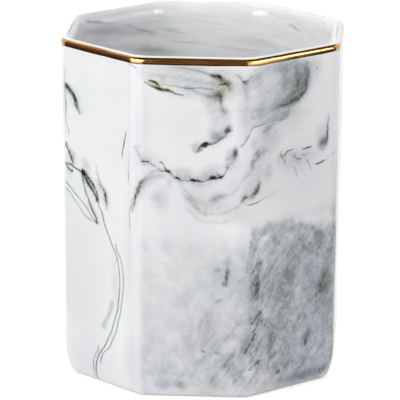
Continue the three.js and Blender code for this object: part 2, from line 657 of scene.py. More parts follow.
@dataclass(frozen=True)
class Vein:
    """One line of dark glaze. Its points are millimetres round from the front, and up."""

    name: str
    course: Course
    points: tuple[Place, ...]
    width: float
    ink: float
    weights: tuple[float, ...] = ()  # how strong it is at each point
    bleed: float = 0.0  # how far it bleeds, below 0 to the left or downwards
    bleed_ink: float = 0.0
    run_out: float = 0.9  # how far it fades out past its ends
    ragged: bool = False  # torn and grainy, not a calm thread
    bristle: float = 0.0  # how far hairs stand out from it, below 0 to the left or downwards
    bristle_ink: float = 0.5

    def drawn(self, g: Graph, effects: Effects, around: Value, height: Value) -> Socket:
        """Adds the vein's nodes.

        Args:
            g: The graph to draw in.
            effects: The shared groups.
            around: The place round the wall.
            height: The place up the wall.

        Returns:
            Its ink.
        """
        down = self.course is Course.DOWN
        along, off = (height, around) if down else (around, height)
        centre, weight, lean = self._read(g, along)
        offset = g.times(g.minus(off, centre), lean)
        halo = TORN_HALO if self.ragged else 0.0
        ink = g.use(
            effects.vein, offset=offset, weight=weight, width=self.width, ink=self.ink, halo=halo
        )[0]
        if self.bleed:
            soft = g.use(
                effects.feather, offset=offset, weight=weight, reach=self.bleed, ink=self.bleed_ink
            )
            ink = g.plus(ink, soft[0])
        if self.bristle:
            inputs = {"offset": offset, "along": along, "weight": weight}
            hairs = g.use(effects.bristles, reach=self.bristle, ink=self.bristle_ink, **inputs)
            ink = g.plus(ink, hairs[0])
        return ink

    def _read(self, g: Graph, along: Value) -> tuple[Value, Value, Value]:
        """Looks the vein up in curves through its points.

        Args:
            g: The graph to draw in.
            along: The place along the way that the vein mostly runs.

        Returns:
            Where its middle lies across that way, how strong it is there, and how much nearer
            the line is than that distance says because it slants.
        """
        down = self.course is Course.DOWN
        weights = self.weights or (1.0,) * len(self.points)
        stations = sorted(
            ((z, s) if down else (s, z), weight) for (s, z), weight in zip(self.points, weights)
        )
        low, high = stations[0][0][0] - self.run_out, stations[-1][0][0] + self.run_out
        offs = [place[1] for place, _ in stations]
        least, most = min(offs) - CURVE_MARGIN, max(offs) + CURVE_MARGIN
        way = g.line(along, 1 / (high - low), -low / (high - low))
        three = g.node("ShaderNodeCombineColor", {0: way, 1: way, 2: way}).outputs[0]
        curve = g.node("ShaderNodeRGBCurve", {"Color": three}, label=self.name)
        curve.mapping.extend = "HORIZONTAL"
        path, strength, lean = (curve.mapping.curves[i].points for i in range(3))
        last = len(stations) - 1
        for i, ((run, off_at), weight) in enumerate(stations):
            before, after = stations[max(i - 1, 0)][0], stations[min(i + 1, last)][0]
            slope = (after[1] - before[1]) / (after[0] - before[0])
            share = (run - low) / (high - low)
            path.new(share, (off_at - least) / (most - least))
            strength.new(share, weight)
            lean.new(share, 1 / math.hypot(1, slope))
        for line, ends in (
            (path, ((offs[0] - least) / (most - least), (offs[-1] - least) / (most - least))),
            (strength, (0.0, 0.0)),
            (lean, (1.0, 1.0)),
        ):
            line[0].location = (0.0, ends[0])
            line[len(line) - 1].location = (1.0, ends[1])
        curve.mapping.update()
        read = g.node("ShaderNodeSeparateColor", {0: curve.outputs[0]}).outputs
        return g.line(read[0], most - least, least), read[1], read[2]


@dataclass(frozen=True)
class Wash:
    """One soft patch of ink, an oval. Below 0 its ink makes the place lighter: a lighter place in a
    cloud, and painted light where its name says so.
    """

    name: str
    centre: Place
    radii: Place
    ink: float
    turn: float = 0.0

    def drawn(self, g: Graph, effects: Effects, place: Value) -> Socket:
        """Adds the patch's nodes and gives its ink."""
        ink = g.use(
            effects.wash,
            place=place,
            centre=(*self.centre, 0.0),
            turn=-math.radians(self.turn),
            radii=(*self.radii, 1.0),
            ink=self.ink,
        )[0]
        ink.node.label = self.name
        return ink


def patches(g: Graph, effects: Effects, place: Value, washes: Sequence[Wash]) -> Socket:
    """The ink of several patches, summed as they are drawn."""
    return g.total(wash.drawn(g, effects, place) for wash in washes)


DOWN, ACROSS = Course.DOWN, Course.ACROSS
TORN_HALO = 0.22  # the ink round a torn vein, as a share of its own
CURVE_MARGIN = 0.5  # mm past the vein's furthest points, so that its curves have room

LEFT_FACE_VEINS = (
    Vein("edge thread", DOWN, ((-48.5, 90), (-48.4, 84), (-47.6, 80.5), (-48.3, 77), (-46.5, 73)),
         0.25, 0.75, (0.5, 0.5, 1, 0.5, 0.6)),
    Vein("shoulder streak", DOWN, ((-47.3, 86.4), (-45.5, 85), (-43.5, 83), (-42.4, 80.5),
         (-41.5, 79.5)), 0.75, 0.72, (0.8, 1, 1, 0.8, 0.4), 1.2, 0.16, ragged=True),
    Vein("elbow", DOWN, ((-48, 69.2), (-46.5, 67.3), (-45.3, 65), (-44.9, 63.8)), 0.36, 0.55, (),
         1.6, 0.08, ragged=True),
    Vein("low hook", ACROSS, ((-48.3, 63.2), (-47, 62.2), (-45.5, 61.5)), 0.38, 0.6, ragged=True),
    Vein("hook thread", ACROSS, ((-46.4, 63.4), (-44.5, 62.8), (-41.8, 62.3)), 0.25, 0.8),
    Vein("fan left", DOWN, ((-40.8, 62.2), (-39.9, 58.5), (-38.3, 55), (-36.4, 52), (-34.1, 48.7)),
         0.32, 0.62, (0.7, 0.8, 0.8, 1, 1), ragged=True),
    Vein("fan middle", DOWN, ((-40.3, 62.3), (-38.4, 59.8), (-36.4, 58), (-34.2, 55.2)), 0.3, 0.75,
         ragged=True),
    Vein("fan right", DOWN, ((-39.5, 62), (-37.5, 60.7), (-35, 58.6), (-33.3, 55)), 0.34, 0.6, (1,
         1, 0.9, 0.5), -1.0, 0.12, ragged=True),
    Vein("long thread", DOWN, ((-33.5, 55), (-31.8, 51.5), (-30.4, 48), (-28, 44.3), (-25, 39),
         (-23.9, 34), (-24.5, 27), (-26.7, 20), (-30.2, 13.4), (-34.4, 7.6), (-36.4, 1.5)), 0.27,
         0.68, (0.5, 1, 1, 0.8, 0.8, 0.8, 0.85, 0.9, 0.9, 1, 1)),
    Vein("long thread's shadow", DOWN, ((-25.5, 43), (-23.3, 39), (-22.2, 34), (-22.9, 28),
         (-25, 20), (-28.4, 13), (-33, 7)), 0.27, 0.46),
    Vein("soft companion", DOWN, ((-27.7, 26), (-29, 22), (-31.5, 18)), 0.9, 0.24),
    Vein("low thread", DOWN, ((-33.9, 11), (-36, 7.5), (-37.4, 2)), 0.25, 0.4),
    Vein("upper pair", ACROSS, ((-48.3, 57.5), (-44.2, 55.3), (-38.8, 52), (-34.5, 48.5)), 0.24,
         0.45),
    Vein("lower pair", ACROSS, ((-48.4, 55.7), (-43.4, 52.5), (-37, 48.4)), 0.24, 0.35),
    Vein("olive streak", DOWN, ((-34, 64.4), (-32.8, 61), (-30.4, 57.5), (-29.7, 54)), 0.5, 0.42,
         (0.4, 0.6, 1, 0.8), ragged=True),
    Vein("tick", DOWN, ((-20.8, 77), (-21.7, 74), (-22.5, 70.4)), 0.24, 0.85, (0.7, 1, 0.7)),
    Vein("faint plumb", DOWN, ((-19.7, 71), (-19.7, 67), (-19.7, 65.4), (-19.8, 63)), 0.26, 0.4,
         (0.4, 0.5, 1, 0.3)),
)

FRONT_FACE_VEINS = (
    Vein("leaf's upper edge", ACROSS, ((-12.8, 93.3), (-11.4, 93), (-10.3, 92.3), (-9.6, 91.6)),
         0.36, 0.75, (0.7, 1, 0.9, 0.4), run_out=0.3),
    Vein("leaf's lower edge", ACROSS, ((-13.9, 92.8), (-12.5, 92), (-11.1, 91.4), (-9.7, 90.9),
         (-8, 90.6), (-6.3, 90.1), (-5.2, 89.5)), 0.42, 0.9, (0.35, 0.6, 0.8, 1, 1, 0.7, 0.45),
         run_out=0.4),
    Vein("leaf's tip", ACROSS, ((-4.7, 89.5), (-3.4, 89.3)), 0.26, 0.5, run_out=0.3),
    Vein("corner scratch", ACROSS, ((-19.4, 97.6), (-18.4, 97.2), (-16.8, 96.7)), 0.25, 0.32,
         run_out=0.4),
    Vein("brim line", ACROSS, ((-4.9, 97.1), (-0.3, 96.5), (3.9, 95.5), (6.7, 94.9)), 0.45, 0.24,
         (0.4, 0.7, 1, 1)),
    Vein("brim line's twin", ACROSS, ((-12, 95), (-6, 94.6), (0, 93.4), (5, 92.8)), 0.7, 0.09),
    Vein("middle line", ACROSS, ((-9.8, 92.2), (-5.6, 91.8), (-2.1, 91.3), (1.8, 91.4),
         (4.6, 91.1)), 0.26, 0.28, (0.4, 0.8, 1, 1, 0.8)),
    Vein("low line", ACROSS, ((-2.1, 91.3), (0.4, 90.3), (2.9, 89.4), (4.6, 88.9)), 0.6, 0.16),
    Vein("knot", ACROSS, ((4.2, 95.3), (6.9, 94.9), (8.1, 93.6), (10.2, 92.8)), 0.7, 0.3, (0.2, 0.9,
         0.9, 0.7), ragged=True),
    Vein("knot's tail", ACROSS, ((7.9, 92.5), (9.3, 92.1), (10.2, 91.2)), 0.4, 0.22, ragged=True),
    Vein("drip's stem", DOWN, ((7.7, 88.6), (7.9, 86.4), (8.4, 85), (8.9, 84)), 0.45, 0.28, (1, 0.7,
         0.6, 0.4), ragged=True),
    Vein("bar", ACROSS, ((4.7, 75), (6.8, 76.1), (8.9, 77.4), (10.2, 79)), 0.3, 0.42, (0.8, 0.7,
         0.6, 0.8), 1.9, 0.26, ragged=True),
    Vein("bar's loop", ACROSS, ((0.4, 73.2), (1.4, 73.9), (2.6, 75), (4.3, 75.6)), 0.35, 0.55, (0.6,
         0.8, 1, 0.5), ragged=True),
    Vein("bar's inner loop", ACROSS, ((1, 72.9), (2.2, 73.6), (3.2, 74.4)), 0.22, 0.45),
    Vein("stitched bowl", ACROSS, ((-14.6, 69.7), (-13.5, 70), (-12.3, 69.4), (-10.5, 68.2),
         (-9.1, 67.4), (-7.3, 66.9), (-5.9, 66.1), (-4.7, 65.4), (-3.1, 64.8), (-1.3, 64.5),
         (0.1, 64.6), (3.4, 64.6), (5.1, 65.1), (7.6, 65.7), (8.7, 66.6), (9.2, 67.7),
         (10.1, 68.9)), 0.22, 0.72, (0.5, 0.9, 0.5, 0.5, 0.6, 0.8, 0.7, 1, 0.55, 0.5, 0.95, 0.55,
         0.9, 1, 0.6, 0.5, 0.3), -2.2, 0.12, ragged=True),
    Vein("bowl's bristles", ACROSS, ((-4.7, 65.8), (-1.6, 64.8), (0.6, 64.8), (3.4, 65),
         (5.5, 65.6), (7.6, 66.2), (9.2, 67.9), (10.6, 69.8)), 0.2, 0.08, (0.3, 0.6, 0.5, 0.8, 1, 1,
         0.9, 0.6), ragged=True, bristle=3.6, bristle_ink=0.46),
    Vein("bowl's twin line", ACROSS, ((-9.1, 69.5), (-8.2, 68.3), (-7.3, 67.2)), 0.2, 0.6),
    Vein("first dash", ACROSS, ((-17.3, 73.6), (-15.6, 73.9)), 0.25, 0.16),
    Vein("first dash's trail", ACROSS, ((-16.4, 72.6), (-15.4, 71.6), (-14.7, 70.4)), 0.5, 0.16,
         ragged=True),
    Vein("brow", DOWN, ((-10, 67.3), (-12, 66.7), (-13.6, 65.3), (-14.8, 64.4), (-15.6, 62.7),
         (-16.3, 61.1), (-16.9, 59.4)), 0.6, 0.4, (0.3, 0.3, 0.35, 0.5, 0.8, 0.9, 0.6), 3.0, 0.14,
         ragged=True),
    Vein("brow's echo", ACROSS, ((-14.5, 63.9), (-12.3, 65.1), (-10.2, 65.7), (-8.8, 65.5)), 0.5,
         0.16),
    Vein("brow's thread", DOWN, ((-16.9, 59.4), (-17.6, 57), (-18.2, 55)), 0.32, 0.6, (1, 0.8, 0.4),
         ragged=True),
    Vein("brow's far thread", DOWN, ((-18.2, 57.9), (-19.3, 54), (-19.4, 50.4)), 0.24, 0.3),
    Vein("bowl's outer arc", ACROSS, ((-3.4, 61.6), (-2.3, 59.1), (0.5, 56.2), (2.7, 55),
         (6.3, 54.9), (9.1, 55.5), (12, 56.7)), 0.5, 0.1, (0.4, 0.8, 0.8, 1, 0.9, 0.9, 0.5), 1.8,
         0.04, ragged=True),
    Vein("bowl's second arc", ACROSS, ((-2.6, 60.2), (-0.3, 57.9), (2.8, 56.4), (6, 56.2),
         (9.4, 57.2)), 0.3, 0.1, (0.6, 1, 0.8, 0.6, 0.4), ragged=True),
    Vein("bowl's third arc", ACROSS, ((-1.5, 59.2), (0.6, 57), (3.2, 55.4)), 0.24, 0.09,
         ragged=True),
    Vein("bowl's high arc", ACROSS, ((-3.5, 62.8), (-2, 60.9), (0.8, 59.4), (4.2, 58.6),
         (8.2, 58.2)), 0.36, 0.08, (0.8, 1, 0.6, 0.5, 0.3), ragged=True),
    Vein("bowl's low arc", ACROSS, ((-2.3, 56.2), (0.5, 54.2), (3.4, 52.7), (6.4, 52.4), (10.2, 53),
         (11.6, 53.7)), 0.45, 0.1, (0.4, 1, 0.8, 1, 0.8, 0.5), ragged=True),
    Vein("bowl's inner arc", ACROSS, ((-2.6, 61.8), (0.4, 58.4), (4.5, 57.3), (8.5, 57.6)), 0.7,
         0.09, (0.6, 1, 0.8, 0.3), ragged=True),
    Vein("bowl's rising band", ACROSS, ((4.2, 58.6), (6.2, 59.3), (8.4, 60.2), (10.9, 60.9),
         (12.6, 62.7), (14.4, 65.7), (16.1, 66.8)), 0.8, 0.15, (0.3, 1, 0.9, 0.7, 0.6, 0.6, 0.7)),
    Vein("twist", ACROSS, ((12, 57), (13, 58), (14.6, 59.9), (16.2, 60.5), (17.8, 61), (18.9, 62.8),
         (19.8, 63.9)), 0.5, 0.26, (0.3, 0.5, 1, 0.4, 0.8, 0.9, 0.5), -1.4, 0.14, ragged=True),
)

RIGHT_FACE_VEINS = (
    Vein("small fork", ACROSS, ((12, 95.3), (13.2, 94.2), (14.3, 93.2), (15.3, 93.7), (16.5, 94.8)),
         0.6, 0.3, (0.4, 0.7, 1, 0.8, 0.5), ragged=True),
    Vein("fork's stem", DOWN, ((14.5, 93.1), (14.6, 91.1), (15.2, 88.3)), 1.1, 0.17, (1, 0.8, 0.4)),
    Vein("fan's edge", DOWN, ((37.2, 96.5), (37.5, 94.2), (37.3, 89.5), (36.2, 87.5), (33.7, 85.6),
         (30.4, 84.5)), 1.3, 0.22, (0.5, 0.8, 0.9, 0.8, 0.6, 0.2), -9, 0.38),
    Vein("fan's seam", DOWN, ((37, 90.2), (36, 87.5), (33.4, 85.2), (30, 83.3)), 0.45, 0.16, (0.5,
         1, 0.9, 0.5), ragged=True),
    Vein("fan's foot", ACROSS, ((16.9, 82.6), (21.4, 83.7), (26.1, 84.4), (30.4, 84.9), (33.5, 86)),
         0.9, 0.13, (0.5, 0.7, 0.9, 1, 0.7), 3.2, 0.14),
    Vein("fan's second curl", DOWN, ((32.6, 96), (33.4, 92.4), (32.8, 89), (30, 87)), 0.9, 0.12,
         (0.4, 1, 1, 0.5)),
    Vein("second band", ACROSS, ((20, 78.4), (21.9, 79), (24.8, 79.9), (29.5, 81.6)), 0.9, 0.13,
         (0.5, 1, 0.8, 0.4)),
    Vein("shore", ACROSS, ((13.4, 74.9), (14.6, 76.3), (15.9, 78), (16.4, 79.4), (17.9, 80.3),
         (22.4, 80.9), (29.1, 80.8)), 0.26, 0.34, (0.7, 1, 1, 1, 0.9, 0.5, 0.4), 2.2, 0.08),
    Vein("hook", DOWN, ((21.6, 72.6), (19.7, 72), (17.7, 70.4), (16.9, 68.2)), 0.6, 0.22, (0.5, 0.8,
         1, 0.8), ragged=True),
    Vein("rising thread", ACROSS, ((16.2, 57.7), (18.5, 58), (21.3, 58.9), (24.7, 59.7),
         (28, 61.3)), 0.24, 0.5, (1, 1, 0.5, 0.35, 0.3)),
    Vein("ridge left", ACROSS, ((28.4, 70.4), (30.2, 71.4), (31.7, 71.6)), 0.22, 0.6, (0.5, 1,
         0.8)),
    Vein("ridge right", ACROSS, ((35.8, 71), (37.2, 71.1), (38.9, 71.3)), 0.22, 0.8, (0.5, 1, 1),
         run_out=0.4),
    Vein("rag 1", DOWN, ((27.4, 71), (28.3, 69.6), (29.1, 68.2)), 0.24, 0.26, ragged=True),
    Vein("rag 2", ACROSS, ((32.6, 69.8), (33.6, 68.9), (34.8, 68.4)), 0.24, 0.28, ragged=True),
    Vein("rag 3", DOWN, ((32.8, 66.1), (33.3, 65), (33.8, 63.7)), 0.22, 0.22),
    Vein("rag 4", DOWN, ((38, 67.4), (38.6, 66.2), (39.1, 65)), 0.22, 0.3),
    Vein("ridge's rags", ACROSS, ((26.5, 70.2), (30, 70.6), (34, 70), (38, 69.6), (41, 69)), 0.5,
         0.07, (0.6, 1, 0.7, 1, 0.5), ragged=True, bristle=-4.4, bristle_ink=0.2),
    Vein("swallow", ACROSS, ((41.8, 65.9), (43, 66.1), (44.2, 66.4), (45.9, 66.8), (48.1, 68.2)),
         0.28, 0.8, (0.9, 1, 0.9, 0.15, 0.35)),
    Vein("plumb", DOWN, ((46, 79.4), (45.7, 76.7), (45.5, 73.9), (45.2, 71.6)), 0.26, 0.5, (0.4,
         0.7, 1, 0.8), -1.5, 0.2, ragged=True),
    Vein("corner line", DOWN, ((49.6, 60), (49.5, 52), (48.8, 46)), 0.22, 0.25),
    Vein("squiggle", DOWN, ((16.6, 46.5), (16.1, 42.7), (15.5, 38.4)), 0.6, 0.13, ragged=True),
    Vein("crest's curl", DOWN, ((35, 45.4), (36.6, 43.6), (37, 41.5)), 0.6, 0.11, ragged=True),
    Vein("stroke 1", DOWN, ((20.4, 26), (18.8, 24.2), (17.2, 22.6)), 0.24, 0.36, run_out=0.3,
         ragged=True),
    Vein("stroke 2", DOWN, ((21.4, 23.4), (19.7, 22), (17.9, 20.2)), 0.22, 0.28, run_out=0.3,
         ragged=True),
    Vein("stroke 3", DOWN, ((18.4, 19.6), (17.4, 17.4), (15.2, 14.2)), 0.3, 0.28, run_out=0.3,
         ragged=True),
    Vein("stroke 4", DOWN, ((20.2, 11.4), (18.4, 10.3), (16.7, 9)), 0.34, 0.19, run_out=0.3,
         ragged=True),
    Vein("front sweep", DOWN, ((14.2, 15.4), (12, 13.4), (10.4, 11.8), (9.4, 10.2)), 0.6, 0.06,
         ragged=True),
)

SMALL_WASHES = (
    Wash("fan's fill", (-38.2, 60.4), (4.4, 2.1), 0.27, -48),
    Wash("fan's lower fill", (-36.4, 58.4), (3.4, 1.4), 0.09, -58),
    Wash("olive end", (-30.3, 57), (1.4, 3), 0.25, 12),
    Wash("elbow's mist", (-45.4, 66.2), (2.4, 2), 0.18),
    Wash("fan's right mist", (-32.8, 59.6), (1.6, 2.8), 0.13, 30),
    Wash("fan's upper mist", (-39, 64.6), (3, 1.8), 0.17, -30),
    Wash("thread's mist", (-26, 32), (2.2, 9), 0.1, 4),
    Wash("leaf's pale", (-10.4, 91.9), (2.6, 1.1), 0.2, -30),
    Wash("brim's upper mist", (-2.5, 97), (11, 2), 0.22, -4),
    Wash("leaf's upper mist", (-12.8, 95.2), (5, 3), 0.07),
    Wash("beside the leaf", (-9, 93.6), (1.6, 1.6), 0.1),
    Wash("leaf's mist", (-6, 91), (6, 3), 0.05),
    Wash("under the leaf", (-1.4, 89.4), (5, 1.8), 0.1),
    Wash("arc's mist", (5.6, 86), (3, 6.5), 0.14, 10),
    Wash("arc's lower mist", (6, 79), (2.6, 5), 0.1, -14),
    Wash("loop's mist", (0.6, 74.6), (2, 1.6), 0.22),
    Wash("corner's mist", (14.6, 84), (3, 7), 0.1),
    Wash("bowl's left mist", (-12, 70), (4.4, 3), 0.1, -20),
    Wash("bowl's line mist", (-3, 66.4), (4.6, 2.4), 0.14, -8),
    Wash("bowl's right mist", (10.8, 69.6), (2.8, 3.6), 0.17, -20),
    Wash("bowl's far mist", (17, 66), (5.4, 3.6), 0.1),
    Wash("brim mist", (0.5, 93), (14, 3.6), 0.18, -8),
    Wash("brim's right", (10, 91.5), (5, 6), 0.12, 30),
    Wash("brim's far right", (9, 96), (4, 1.8), 0.1),
    Wash("above the drip", (3.6, 88.6), (2.6, 3), 0.1),
    Wash("beside the shore", (17.4, 75.6), (1.8, 3), 0.12),
    Wash("bowl's right end", (11, 64), (2.6, 3), 0.1),
    Wash("knot's blob", (6.9, 94.5), (2.1, 1.2), 0.28, -20),
    Wash("knot's mist", (7.6, 93.4), (4.6, 2.2), 0.12, -25),
    Wash("drip's blob", (7, 89.2), (2, 2), 0.32, -40),
    Wash("drip's mist", (6.6, 89.6), (3.2, 3), 0.16, 20),
    Wash("drip's end", (8.6, 84.6), (1.8, 3), 0.2, 20),
    Wash("drop", (9.4, 79.4), (0.9, 1.7), 0.5, -14),
    Wash("bar's head", (3.2, 75.1), (1.4, 0.9), 0.95, 25),
    Wash("bar's mist", (7, 77.4), (2.8, 1.8), 0.24, 35),
    Wash("bar's far mist", (5.4, 78.3), (1.4, 1.6), 0.14),
    Wash("drop's mist", (9.2, 79.8), (2, 2.8), 0.14),
    Wash("comma", (11.7, 73), (1, 2.2), 0.56, -6),
    Wash("comma's mist", (10.8, 72.2), (2.2, 2.4), 0.24),
    Wash("stitch 1", (-4.7, 65.5), (0.55, 0.4), 0.5),
    Wash("stitch 2", (0, 64.7), (1.1, 0.55), 0.75),
    Wash("stitch 3", (5.4, 65.6), (1.2, 0.8), 0.7, 20),
    Wash("stitch 4", (7.7, 65.8), (0.6, 0.5), 0.6),
    Wash("bowl's bead mist", (3.4, 65.6), (4.6, 1.6), 0.12, 6),
    Wash("bowl's inner shade", (5, 67.6), (4.4, 2.2), 0.14, 16),
    Wash("below the beads", (2, 63.4), (3.6, 1.4), 0.11),
    Wash("brow's blob", (-15.2, 62.6), (1.4, 2.4), 0.13, -35),
    Wash("brow's foot", (-16.2, 61.3), (0.9, 1.2), 0.26),
    Wash("brow's skirt", (-12.2, 64.8), (4.4, 2.4), 0.12, 25),
    Wash("smear", (-9.4, 58.8), (3, 5), 0.13),
    Wash("under the brow", (-11.2, 59.8), (2.4, 2), 0.11),
    Wash("smear's twin", (-7, 63.6), (1.6, 2), 0.12),
    Wash("bowl's left shade", (0.8, 60.2), (4, 3.2), 0.03, -30),
    Wash("bowl's mist", (7, 59), (10, 5.4), 0.09),
    Wash("bowl's deep", (6.8, 60), (3, 2), 0.12, 35),
    Wash("twist's dark", (14.6, 60), (1.1, 0.8), 0.14),
    Wash("twist's streak", (18.3, 61.8), (1.1, 3), 0.36, -32),
    Wash("twist's second streak", (16.6, 60.4), (1.6, 0.6), 0.16, 40),
    Wash("twist's skirt", (16.6, 61.6), (4.4, 3.4), 0.13, 30),
    Wash("fan's head", (27.5, 97), (8.5, 3.4), 0.28),
    Wash("fan's inner dark", (28.6, 92.6), (2.4, 4), 0.2),
    Wash("beyond the fan", (39, 94.6), (4.4, 4.4), 0.19),
    Wash("beyond the shore", (32, 80.6), (9, 2.6), 0.1, 14),
    Wash("first speck", (26.9, 95.1), (0.3, 0.25), 0.4),
    Wash("second speck", (41, 93.8), (0.35, 0.3), 0.5),
    Wash("fan's hollow", (28, 90), (13, 9), 0.2),
    Wash("fan's shade", (33.8, 91.4), (4.2, 6.6), 0.22, -4),
    Wash("fan's left", (19, 88), (5, 9), 0.09),
    Wash("fan's upper left", (17.8, 94), (3, 3.6), 0.2),
    Wash("fan's inner edge", (29, 86), (6.5, 2), 0.16, 12),
    Wash("shore's mist", (23, 82.4), (9, 2), 0.1, 8),
    Wash("above the shore", (19, 84.4), (3.4, 2), 0.13, 20),
    Wash("under the fan", (26, 82), (9.5, 2.8), 0.19, 14),
    Wash("fork's mist", (14.6, 92), (3.2, 3.4), 0.06),
    Wash("fork's upper mist", (13, 95), (3.2, 2.4), 0.08),
    Wash("fan's near corner", (19.4, 95.8), (3.8, 2.8), 0.13),
    Wash("fan's lower right", (29, 82), (3.4, 1.6), 0.12, 14),
    Wash("shore's spot", (22.2, 78.8), (2.4, 1.5), 0.12, 20),
    Wash("below the shore", (22.6, 76), (5.4, 5.5), 0.2, 10),
    Wash("far below the shore", (31, 77.5), (8, 2.6), 0.05, 12),
    Wash("hook's mist", (19, 72.2), (3.4, 2.2), 0.18, 35),
    Wash("hook's head", (18.6, 72.6), (1.5, 0.8), 0.2, 40),
    Wash("hook's foot", (16.9, 69.8), (0.8, 1.3), 0.22, -10),
    Wash("hook's skirt", (19.8, 69.8), (5, 4.2), 0.1, 20),
    Wash("ridge's mist", (33, 68.4), (10, 4.4), 0.12, 4),
    Wash("ridge's drop", (22.8, 66.6), (2.2, 3.4), 0.13, -20),
    Wash("plumb's blob", (43.8, 71.5), (2.5, 2.2), 0.4, 40),
    Wash("plumb's skirt", (43.4, 73.4), (3.4, 5), 0.14),
)

# Broad and smooth, without grain
VEILS = (
    Wash("lower left veil", (-42, 28), (15, 36), 0.07),
    Wash("left edge veil", (-48, 57), (5, 9), 0.02),
    Wash("left foot veil", (-34, 8), (22, 14), 0.09),
    Wash("left edge's upper veil", (-48.8, 83), (2.4, 13), 0.12),
    Wash("above the cloud", (46, 51), (7, 4.4), 0.09),
    Wash("middle veil", (-1, 58), (15, 12), 0.06),
    Wash("front's middle veil", (-2, 47), (13, 8), 0.05),
    Wash("left corner's lower veil", (-19.4, 36), (4, 20), 0.05),
    Wash("left corner's foot veil", (-19.4, 12), (4, 12), 0.07),
    # painted shade: darkens the glaze along the front-left corner, dimming the lamps' reflection
    # there
    Wash("left corner's painted shade", (-16.6, 80), (1.8, 32), 0.055),
    Wash("above the crest", (32, 52), (14, 2), 0.07),
    Wash("edge above the crest", (49.2, 50.5), (2.4, 4), 0.14),
    Wash("below the bowl's right", (12, 54.4), (5, 3.4), 0.08),
    Wash("right edge veil", (53.2, 50), (4.8, 70), 0.23),
    Wash("left corner veil", (-17, 46), (4.5, 80), 0.06),
    Wash("right corner veil", (16.2, 62), (4.5, 60), 0.09),
    Wash("right face veil", (33, 62), (19, 18), 0.115),
    Wash("upper right veil", (29, 82), (18, 16), 0.055),
    Wash("front's upper veil", (0, 79), (15, 20), 0.055),
    # painted shade: darkens a strip of the front face beside the left corner, over the glaze's
    # corner reflection
    Wash("painted shade beside the left corner", (-14, 82), (3.4, 20), 0.045),
    Wash("below the hook", (22.4, 63), (4, 7), 0.06),
    Wash("front's low veil", (4, 24), (13, 20), 0.085, -20),
)

